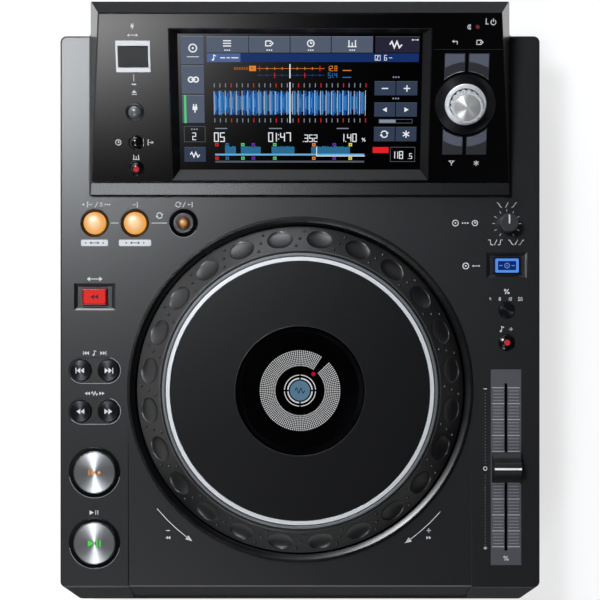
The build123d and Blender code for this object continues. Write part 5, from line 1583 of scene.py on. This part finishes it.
@dataclass
class TouchScreen:
    """The lit picture on the touch glass, laid out on a raster of 242 by 135 cells."""

    left: float = -75.72
    top: float = 93.02
    cell_u: float = 0.625
    cell_v: float = 0.6301
    colours: dict[str, tuple[str, float]] = field(default_factory=lambda: {
        "pale_slate": ("5a6477", 0.82), "slate": ("343f54", 0.95), "plum": ("262537", 0.95),
        "title": ("14316a", 0.92), "title_pale": ("4d6496", 0.95), "white": ("eef2f6", 0.95),
        "grey": ("8a94a6", 0.9), "blue": ("124890", 0.95), "sky": ("2a78c4", 0.95),
        "orange": ("f08a30", 0.9), "amber": ("9a5418", 0.9),
        "red": ("e0202a", 1.0), "green": ("58c878", 1.0), "teal": ("2b6f96", 1.0), "pale_blue": ("6cb0e0", 0.95),
        "purple": ("6a2fa8", 1.0), "yellow": ("e8d838", 1.0), "black": ("060708", 0.3), "line": ("565c66", 0.9)})
    sheets: dict[str, Shaper] = field(default_factory=dict)

    def light(self, colour: str) -> LitColour:
        """Gives a colour's finish."""
        return LitColour(f"screen_{colour}", *self.colours[colour])

    def sheet(self, colour: str) -> Shaper:
        """Gives the piece that holds a colour's shapes.

        Args:
            colour: Name of the colour.

        Returns:
            The piece's shapes.
        """
        if colour not in self.sheets:
            self.sheets[colour] = Shaper(f"screen_{colour}", GLASS, self.light(colour), height=0.03, slot="screen")
        return self.sheets[colour]

    def u(self, x: float) -> float:
        """Gives the place across the face of a raster column."""
        return self.left + self.cell_u * x

    def v(self, y: float) -> float:
        """Gives the place up the face of a raster row."""
        return self.top - self.cell_v * y

    def box(self, colour: str, x0: float, x1: float, y0: float, y1: float, lift: float = 0.0) -> None:
        """Adds a lit rectangle between raster columns and rows."""
        self.sheet(colour).bar(self.u(x0), self.u(x1), self.v(y1), self.v(y0), lift)

    def sign(self, symbol: Symbol, x: float, y: float, size: float, colour: str = "white",
             weight: float = 0.14) -> None:
        """Adds a lit sign about a raster place, with its size in cells."""
        symbol.draw(self.sheet(colour), self.u(x), self.v(y), size * self.cell_u, weight, 0.06)

    def number(self, text: str, x: float, y: float, size: float, colour: str = "white",
               weight: float = 0.1) -> None:
        """Adds a lit number by its left edge and its foot, with its size in cells."""
        draw_number(self.sheet(colour), text, self.u(x), self.v(y), size * self.cell_v, 0.06, weight)

    def outline(self, colour: str, x0: float, x1: float, y0: float, y1: float) -> None:
        """Adds a thin lit frame."""
        for edges in ((x0, x1, y0, y0 + 0.5), (x0, x1, y1 - 0.5, y1), (x0, x0 + 0.5, y0, y1), (x1 - 0.5, x1, y0, y1)):
            self.box(colour, *edges, 0.03)

    def key(self, colour: str, x0: float, x1: float, y0: float, y1: float) -> None:
        """Adds a lit key with a lighter upper edge and a darker lower one.

        Args:
            colour: Name of its colour.
            x0: Its left column.
            x1: Its right column.
            y0: Its upper row.
            y1: Its lower row.
        """
        self.box(colour, x0, x1, y0, y1)
        self.box("grey" if colour == "pale_slate" else "line", x0, x1, y0, y0 + 0.4, 0.03)
        self.box("black", x0, x1, y1 - 0.4, y1, 0.03)

    def build(self) -> None:
        """Draws the whole picture."""
        dress(GLASS_BLACK, "touch_glass")
        self.left_keys()
        self.tabs()
        self.beat_scales()
        self.wave()
        self.readings()
        self.overview()
        self.right_keys()
        for sheet in self.sheets.values():
            sheet.piece()

    def left_keys(self) -> None:
        """Draws the column of keys on the left."""
        for top, bottom in ((2.2, 30.4), (31.2, 59.5), (60.3, 88.6)):
            self.key("pale_slate", 3.3, 25.5, top, bottom)
        self.box("green", 5.2, 7.4, 60.3, 88.6, 0.03)
        self.sign(Symbol.WHEEL, 15.0, 14.0, 9.0)
        self.box("white", 9.0, 21.0, 22.2, 22.8, 0.06)
        self.sign(Symbol.CHAIN, 15.0, 45.0, 10.0)
        self.sign(Symbol.PLUG, 16.0, 73.5, 9.0)
        self.outline("line", 4.5, 26.0, 91.5, 107.6)
        self.sign(Symbol.DOTS, 15.0, 94.6, 7.0, "grey")
        self.number("2", 12.8, 105.6, 7.6)
        self.key("slate", 4.4, 26.0, 112.6, 128.0)
        self.sign(Symbol.WAVE, 15.2, 120.4, 8.0)

    def tabs(self) -> None:
        """Draws the row of tabs and the title bar."""
        edges = (28.7, 69.9, 70.7, 110.9, 111.7, 151.6, 152.4, 193.3)
        for x0, x1 in zip(edges[::2], edges[1::2]):
            self.key("pale_slate", x0, x1, 2.7, 18.8)
        self.key("plum", 195.7, 239.5, 2.7, 18.8)
        for x, symbol in ((49.0, Symbol.LIST), (90.8, Symbol.TAG), (131.8, Symbol.CLOCK), (172.8, Symbol.GRID)):
            self.sign(symbol, x, 9.4, 8.0)
            self.sign(Symbol.DOTS, x, 16.0, 6.0, "white", 0.1)
        self.sign(Symbol.WAVE, 216.0, 10.6, 10.0)
        self.sign(Symbol.SWAP, 235.0, 6.0, 3.6)
        self.box("title", 28.7, 239.1, 19.2, 27.7)
        self.box("title_pale", 28.7, 62.0, 19.2, 27.7, 0.02)
        self.sign(Symbol.NOTE, 36.0, 23.4, 6.4)
        for start, stop in ((42.0, 47.0), (48.5, 51.5), (53.0, 60.0)):
            self.box("white", start, stop, 23.0, 24.0, 0.06)
        self.outline("white", 195.4, 201.0, 20.9, 26.2)
        self.sign(Symbol.NOTE, 198.3, 23.6, 4.0)
        self.number("6", 204.6, 26.2, 5.4)
        self.sign(Symbol.MINUS, 211.0, 23.6, 4.0)

    def beat_scales(self) -> None:
        """Draws the two small beat scales above the wave."""
        self.box("orange", 70.6, 77.4, 31.4, 36.6)
        self.number("4", 72.8, 35.9, 3.6, "black")
        for index in range(6):
            self.box("amber", 55.6 + 2.4 * index, 57.2 + 2.4 * index, 32.6, 35.4)
        self.box("orange", 78.5, 145.5, 33.9, 34.3, 0.03)
        self.box("blue", 78.5, 145.5, 40.5, 40.9, 0.03)
        for index in range(9):
            x = 80.6 + 7.5 * index
            for colour, first, width, tall, short in (("orange", 0, 0.7, (31.4, 36.6), (32.8, 35.4)),
                                                      ("blue", 2, 0.6, (38.2, 43.4), (39.4, 42.0))):
                strong = index % 4 == first
                self.box("red" if strong else colour, x, x + width, *(tall if strong else short), 0.06)
        self.number("12.8", 149.0, 36.6, 5.2, "orange")
        self.number("51.4", 149.0, 43.4, 5.2, "sky")
        self.box("orange", 163.6, 172.0, 35.6, 36.4, 0.03)
        self.box("sky", 163.6, 172.0, 42.4, 43.2, 0.03)

    def bars(self, name: str, colour: str, place: Matrix, row: Repeat) -> None:
        """Adds a row of lit bars of uneven length as a piece of its own."""
        finish_piece(row.mesh(place, self.light(colour)), name)

    def wave(self) -> None:
        """Draws the moving wave from repeated bars, its beat ticks and the playhead."""
        middle = self.v(68.2)
        rows = (("blue", 27, 5.6, 37.0, (3.0, 25.3), 0.86, 1, 0.0),
                ("sky", 81, 1.88, 36.0, (0.85, 25.3), 0.5, 4, 0.03),
                ("pale_blue", 54, 2.82, 36.6, (0.4, 25.3), 0.35, 9, 0.05),
                ("white", 28, 5.6, 35.3, (0.35, 25.3), 0.9, 2, 0.07))
        for colour, count, pitch, start, (width, tall), shortest, seed, lift in rows:
            self.bars(f"screen_wave_{colour}", colour, turned_place(GLASS, self.u(start), middle, lift + 0.015),
                      Repeat(Layout.ROW, count, pitch * self.cell_u, size=(
                          width * self.cell_u, tall * self.cell_v, 0.03), shortest=shortest, seed=seed))
        for index in range(28):
            x = 35.3 + 5.6 * index
            for top, bottom in ((48.7, 52.7), (83.7, 87.7)):
                self.box("red" if index % 4 == 3 else "grey", x, x + 0.8, top, bottom, 0.03)
        for top, bottom in ((29.7, 43.6), (47.6, 88.2)):
            self.box("white", 110.6, 111.7, top, bottom, 0.12)

    def readings(self) -> None:
        """Draws the track number, the time and the tempo."""
        for x, width in ((36.0, 12.0), (90.0, 13.0), (158.0, 12.0)):
            self.box("grey", x, x + width, 93.4, 94.3)
        self.number("05", 34.6, 107.4, 9.6)
        self.number("01:47", 89.2, 107.4, 9.6)
        self.number(".352", 124.0, 107.4, 7.4)
        self.number("1.40", 163.4, 107.4, 8.4)
        self.sign(Symbol.PERCENT, 185.2, 105.2, 4.0)

    def overview(self) -> None:
        """Draws the whole track as one low band with its markers."""
        for start, stop, seed in ((46.0, 57.0, 3), (62.0, 82.0, 5), (93.0, 116.0, 7), (133.0, 172.0, 8)):
            self.bars(f"screen_overview_{seed}", "teal", turned_place(GLASS, self.u(start), self.v(116.4), 0.03),
                      Repeat(Layout.ROW, int(stop - start), self.cell_u, size=(
                          0.9 * self.cell_u, 9.6 * self.cell_v, 0.03), shortest=0.75, seed=seed))
        self.box("pale_blue", 35.5, 186.0, 119.4, 121.2, 0.05)
        self.box("white", 137.5, 186.5, 121.3, 122.1, 0.06)
        self.box("white", 137.5, 138.3, 112.4, 122.1, 0.06)
        self.box("line", 35.5, 186.0, 126.6, 128.4)
        for x, colour in ((35.6, "red"), (46.0, "teal"), (61.8, "green"), (72.4, "purple"), (94.0, "green"),
                          (133.4, "orange"), (154.0, "purple"), (170.2, "yellow")):
            for top in (108.6, 122.4):
                self.box(colour, x, x + 3.4, top, top + 3.2, 0.07)
                self.box("black", x + 1.1, x + 2.3, top + 1.0, top + 2.2, 0.1)

    def right_keys(self) -> None:
        """Draws the keys and the tempo box on the right."""
        self.sign(Symbol.DOTS, 216.8, 42.6, 7.0, "grey")
        self.sign(Symbol.DOTS, 216.8, 63.8, 7.0, "grey")
        for x0, x1 in ((195.5, 216.4), (217.3, 238.2)):
            for y0, y1 in ((46.6, 61.0), (67.8, 82.3), (92.3, 107.2)):
                self.key("slate", x0, x1, y0, y1)
        self.sign(Symbol.MINUS, 205.9, 53.8, 8.0)
        self.sign(Symbol.PLUS, 227.8, 53.8, 8.0)
        self.sign(Symbol.LEFT, 205.9, 75.0, 5.4)
        self.sign(Symbol.RIGHT, 227.8, 75.0, 5.4)
        self.outline("line", 200.3, 234.0, 84.5, 88.6)
        self.box("grey", 200.3, 217.0, 84.5, 88.6, 0.02)
        self.sign(Symbol.LOOP, 205.9, 99.6, 8.0)
        self.sign(Symbol.STAR, 227.8, 99.6, 8.0)
        self.box("red", 194.5, 210.5, 112.7, 118.7)
        self.outline("line", 212.1, 237.3, 112.6, 127.6)
        self.number("118", 215.0, 124.6, 7.8)
        self.number(".5", 230.2, 124.6, 5.6)


@dataclass
class PanelControls:
    """Port, three round buttons and the four curved keys of the sloped panel."""

    side_u: float = 102.9
    selector_v: float = 50.1
    rounds: tuple[tuple[str, float], ...] = (("stop_button", 45.2), ("time_button", 25.8), ("quantize_button", 9.4))
    key_near: float = 1.45
    key_far: float = 13.45
    key_top: float = 31.3
    key_radius: float = 20.7
    band_radius: float = 26.4

    def build(self) -> None:
        """Builds the port, the round buttons and the curved keys."""
        dress(TRIM_SILVER, "port_frame")
        dress(PolishedPlastic("abs_gloss_flap", "0c0f13", 0.14, 0.25, 0.25), "port_flap")
        for name, v in self.rounds:
            self.round_button(name, v)
        self.curved_keys()

    def round_button(self, name: str, v: float) -> None:
        """Adds a glossy dome and its ring and, where there is one, its lamp.

        Args:
            name: Name of the button's solid.
            v: Its place up the panel.
        """
        stop, middle = name == "stop_button", (-self.side_u, v)
        cap = DOME_GREY if stop else DOME_BLACK
        dress(cap, name)
        turned(f"{name}_dome", PANEL, cap, middle, [
            (0, 1.3), (3.5, 1.3), (3.5, 1.45), (3.0, 2.0), (2.1, 2.5), (1.0, 2.8), (0, 2.85)],
            f"{name}_body", "button_black")
        wide = 5.9 if stop else 4.9
        turned(f"{name}_ring", PANEL, SCREW_BLACK if stop else DOME_BLACK, middle, [
            (4.25, -0.3), (wide, -0.3), (wide, 0.1), (wide - 0.35, 0.35), (4.25, 0.1)], segments=64)
        if name == "quantize_button":
            turned("quantize_lamp", PANEL, RED_LAMP, middle, [
                (0, 2.3), (1.9, 2.3), (1.9, 2.62), (1.1, 2.95), (0, 3.05)], f"{name}_body", "button_red", 24)

    def curved_keys(self) -> None:
        """Adds the paler band on each curved key."""
        dress(KEY_GREY, "back_button", "tag_button", "filter_button", "shortcut_button")
        keys = (("back_button", -1, 1), ("tag_button", 1, 1), ("filter_button", -1, -1), ("shortcut_button", 1, -1))
        for name, side, end in keys:
            band = Shaper(f"{name}_band", PANEL, KEY_SLATE, f"{name}_body", FILM, "button_grey")
            steps = [self.key_near + (self.key_far - self.key_near) * i / 10 for i in range(11)]
            inner = [(x, math.sqrt(self.key_radius ** 2 - x * x)) for x in steps]
            split = [(x, math.sqrt(self.band_radius ** 2 - x * x)) for x in steps]
            outer = [(self.key_far, self.key_top), (self.key_near, self.key_top)]
            outline = split + outer if end > 0 else inner + split[::-1]
            band.polygon([(self.side_u + side * x, self.selector_v + end * y) for x, y in outline], KEY_TOP)
            band.piece()
            edge = Shaper(f"{name}_edge", PANEL, SILVER, f"{name}_body", FILM, "button_grey")
            edge.stroke([(self.side_u + side * x, self.selector_v + end * y) for x, y in inner], 0.22, KEY_TOP)
            edge.piece()


@dataclass
class Selector:
    """Spun surround, silver ring and scalloped knob."""

    u: float = 102.9
    v: float = 50.1

    def build(self) -> None:
        """Dresses the selector and adds its ring and crown."""
        middle = tuple(PANEL.point(self.u, self.v) / MM)
        dress(SpunMetal("aluminium_spun_black_surround", middle, PANEL.normal(), "1f1f23", 0.34, 0.85),
              "selector_bezel")
        dress(SpunMetal("aluminium_turned_knob", middle, PANEL.normal(), "dedfe2", 0.32, 0.6, metallic=0.35),
              "selector_knob")
        dress(ZINC, "selector_shaft")
        turned("selector_ring", PANEL, TRIM_SILVER, (self.u, self.v), [
            (10.0, 1.1), (12.9, 1.1), (12.9, 1.5), (12.5, 1.95), (10.8, 1.75), (10.0, 1.35)], segments=96)
        spun = SpunMetal("aluminium_turned_crown", middle, PANEL.normal(), "cfcfcd", 0.36, 0.8, metallic=0.6)
        turned("selector_knob_crown", PANEL, spun, (self.u, self.v), [
            (0, 12.9), (8.1, 12.9), (8.1, 13.05), (7.7, 13.35), (0, 13.9)], "selector_dial", "knob_metal", 96)


@dataclass
class RearSide:
    """Contacts, collars, screws and switch signs on the rear plate, and the painted shade of the screw recesses below.
    """

    phono_x: tuple[float, ...] = (40.0, 56.0, 72.0)
    screws: tuple[Point, ...] = ((-106.0, 54.0), (106.0, 54.0), (-106.0, 20.0), (106.0, 20.0), (28.0, 54.0))
    cover_screws: tuple[Point, ...] = ((105.0, -172.0), (136.0, 75.0), (136.0, 160.0))

    def build(self) -> None:
        """Builds the details seen from behind and from below."""
        self.screw_heads()
        self.sockets()
        self.switch_signs()
        self.recesses()
        self.foot_rings()

    def screw_heads(self) -> None:
        """Adds pan heads, each with a flat dark cross that is painted shade standing in for its cross recess."""
        heads = Shaper("rear_screws", REAR, SCREW_BLACK)
        # The cross recess is not cut. A flat dark cross paints its shade.
        marks = Shaper("rear_screw_recess_shade", REAR, INK_DARK, height=0.02)
        for x, z in self.screws:
            heads.lathe((x, z), [(0, -0.2), (2.8, -0.2), (2.8, 0.6), (2.3, 1.2), (1.2, 1.5), (0, 1.5)], 32)
            for du, dv in ((1.1, 0.0), (0.0, 1.1)):
                marks.stroke([(x - du, z - dv), (x + du, z + dv)], 0.5, 1.5)
        heads.piece()
        marks.piece()

    def sockets(self) -> None:
        """Adds contacts and blades inside the sockets and coloured collars on the round ones."""
        gold = Shaper("socket_contacts", REAR, GOLD)
        for index in range(8):
            x = 10.0 - 4.2 + 1.2 * index
            gold.bar(x - 0.2, x + 0.2, 31.0, 31.6, -11.5, 8.0)
        gold.bar(-16.6, -11.4, 25.6, 28.4, -11.5, 9.0)
        gold.piece()
        blades = Shaper("mains_blades", REAR, NICKEL)
        for x, z in ((-92.0, 36.0), (-84.0, 36.0), (-88.0, 40.6)):
            blades.bar(x - 1.0, x + 1.0, z - 2.0, z + 2.0, -12.6, 13.0)
        blades.piece()
        for x, code, title in zip(self.phono_x, ("e8e8e6", "b3201f", "d0701a"), ("white", "red", "orange")):
            turned(f"phono_collar_{title}", REAR, PolishedPlastic(f"polypropylene_{title}", code, 0.35), (x, 42.0), [
                (4.2, 0.85), (5.3, 0.85), (5.3, 2.0), (4.9, 2.4), (4.2, 2.4)])

    def switch_signs(self) -> None:
        """Prints the on and off signs on the rocker."""
        signs = Shaper("rocker_signs", REAR, INK, "rocker", FILM, "cap_black")
        signs.bar(-55.2, -54.8, 39.6, 41.8, 2.0)
        signs.arc(-55.0, 35.2, 1.1, 0.4, 0, 360, 2.0)
        signs.piece()

    def recesses(self) -> None:
        """Paints a dark cross for each cover screw's recess, seen from below, as painted shade standing in for the
        hollow.
        """
        # A flat dark cross paints the shade of each recess. The recess itself is not cut.
        marks = Shaper("cover_screw_recess_shade", UNDER, INK_DARK, height=0.02)
        for x, y in self.cover_screws:
            for side in (-1, 1):
                for dx, dy in ((1.5, 0.0), (0.0, 1.5)):
                    marks.stroke([(side * x - dx, -y - dy), (side * x + dx, -y + dy)], 0.6)
        marks.piece()

    def foot_rings(self) -> None:
        """Adds the moulded collar above each foot."""
        collars = Shaper("foot_collars", UNDER, UNDER_PLASTIC)
        for x, y in ((120.0, -155.0), (115.0, 145.0)):
            for side in (-1, 1):
                collars.lathe((side * x, -y), [(11.2, -0.1), (13.4, -0.1), (12.8, 1.6), (11.2, 1.6)], 48)
        collars.piece()


@dataclass
class Studio:
    """Camera, lamps and the white paper sweep."""

    camera_y: float = 0.0042
    camera_z: float = 1.068
    lens: float = 94.2
    sensor: float = 36.0
    lamps: tuple[tuple[str, Place, Place, Point, float], ...] = (
        ("key_box", (-0.38, 0.37, 1.30), (-0.05, 0.05, 0.06), (0.26, 0.26), 11.6),
        ("left_box", (-0.98, 0.66, 0.9), (0.0, 0.0, 0.06), (0.75, 1.0), 4.2),
        ("rear_box", (-0.3, 1.3, 0.72), (0.0, 0.0, 0.06), (0.9, 0.5), 8.5),
        ("front_box", (-0.34, -1.26, 1.25), (-0.1, 0.07, 0.07), (0.5, 0.36), 8.3),
    )
    lamp_tint: Place = (0.93, 0.965, 1.0)
    room_light: float = 0.015
    floor_radius: float = 2800.0
    bend_radius: float = 600.0
    wall_top: float = 1150.0
    paper: float = 4.0
    card: SoftCard = SoftCard("paper_card_soft", (-500.0, -700.0, 2400.0))
    card_edges: tuple[float, ...] = (-950.0, 350.0, -1450.0, -800.0)
    flag_height: float = 600.0
    flags: tuple[tuple[str, tuple[float, ...]], ...] = (
        ("black_card_front", (-1500.0, 900.0, -1004.0, -1000.0)),
        ("black_card_right", (1000.0, 1004.0, -900.0, 900.0)),
    )

    def build(self) -> None:
        """Builds the studio round the player."""
        self.sweep()
        self.cards()
        scene = bpy.context.scene
        data = bpy.data.cameras.new("view")
        data.lens = self.lens
        data.sensor_width = self.sensor
        data.clip_end = 20.0
        camera = bpy.data.objects.new("view", data)
        camera.location = (0.0, self.camera_y, self.camera_z)
        scene.collection.objects.link(camera)
        scene.camera = camera
        for lamp in self.lamps:
            self.lamp(*lamp)
        world = bpy.data.worlds.new("studio")
        world.use_nodes = True
        world.node_tree.nodes.clear()
        room = add_node(world.node_tree, "ShaderNodeBackground", inputs={"Color": WHITE, "Strength": self.room_light})
        add_node(world.node_tree, "ShaderNodeOutputWorld", inputs={"Surface": room.outputs[0]})
        scene.world = world
        scene.view_settings.view_transform = "Standard"

    def lamp(self, name: str, place: Place, aim: Place, size: Point, power: float) -> None:
        """Adds a soft box.

        Args:
            name: Name of the lamp.
            place: Its place in metres.
            aim: The point that it faces.
            size: Its width and height in metres.
            power: Its power in watts.
        """
        data = bpy.data.lights.new(name, "AREA")
        data.shape = "RECTANGLE"
        data.size, data.size_y = size
        data.energy = power
        data.color = self.lamp_tint
        lamp = bpy.data.objects.new(name, data)
        lamp.location = place
        lamp.rotation_euler = (Vector(aim) - Vector(place)).to_track_quat("-Z", "Y").to_euler()
        bpy.context.scene.collection.objects.link(lamp)

    def sweep(self) -> None:
        """Makes the paper floor that curves up into a round wall."""
        inner = self.bend_radius - self.paper
        below, above = [(0.0, -self.paper), (self.floor_radius, -self.paper)], [(0.0, 0.0), (self.floor_radius, 0.0)]
        for step in range(1, 9):
            angle = math.radians(90 * step / 8)
            for side, radius in ((below, self.bend_radius), (above, inner)):
                side.append((self.floor_radius + radius * math.sin(angle), inner - radius * math.cos(angle)))
        ends = [(self.floor_radius + radius, self.wall_top) for radius in (self.bend_radius, inner)]
        paper = Shaper("paper_sweep", FLOOR, PAPER)
        paper.lathe((0, 0), [*below, *ends, *above[::-1]], 96)
        self.stand(paper)

    def cards(self) -> None:
        """Stands the white card that the gloss mirrors, and black cards at the front and the right."""
        card = Shaper("paper_card", Face((0.0, 0.0, self.card.centre[2])), self.card, height=self.paper)
        card.bar(*self.card_edges)
        self.stand(card)
        # The black cards keep the paper's white off the wheel's front and right slopes.
        for name, edges in self.flags:
            flag = Shaper(name, FLOOR, INK_DARK, height=self.flag_height)
            flag.bar(*edges)
            self.stand(flag, mirrored_only=True)

    def stand(self, shape: Shaper, mirrored_only: bool = False) -> None:
        """Stands a studio shape that isn't part of the player.

        Args:
            shape: The shape.
            mirrored_only: Whether only gloss shows it, and neither the eye nor the shadows.
        """
        obj = stand_mesh(shape.mesh(), shape.name)
        obj.visible_camera = obj.visible_diffuse = obj.visible_shadow = not mirrored_only


def main() -> None:
    """Builds the studio and every sub-assembly."""
    logging.basicConfig(level=logging.INFO, format="%(message)s")
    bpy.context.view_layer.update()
    for part in (Studio(), Shell(), DeckPrint(), PanelPrint(), LoopButtons(), SkipButtons(), TransportButtons(),
                 KeyCaps(), TempoSide(), JogWheel(), TouchScreen(), PanelControls(), Selector(), RearSide()):
        part.build()
        LOG.info("built %s", type(part).__name__)


if __name__ == "__main__":
    main()
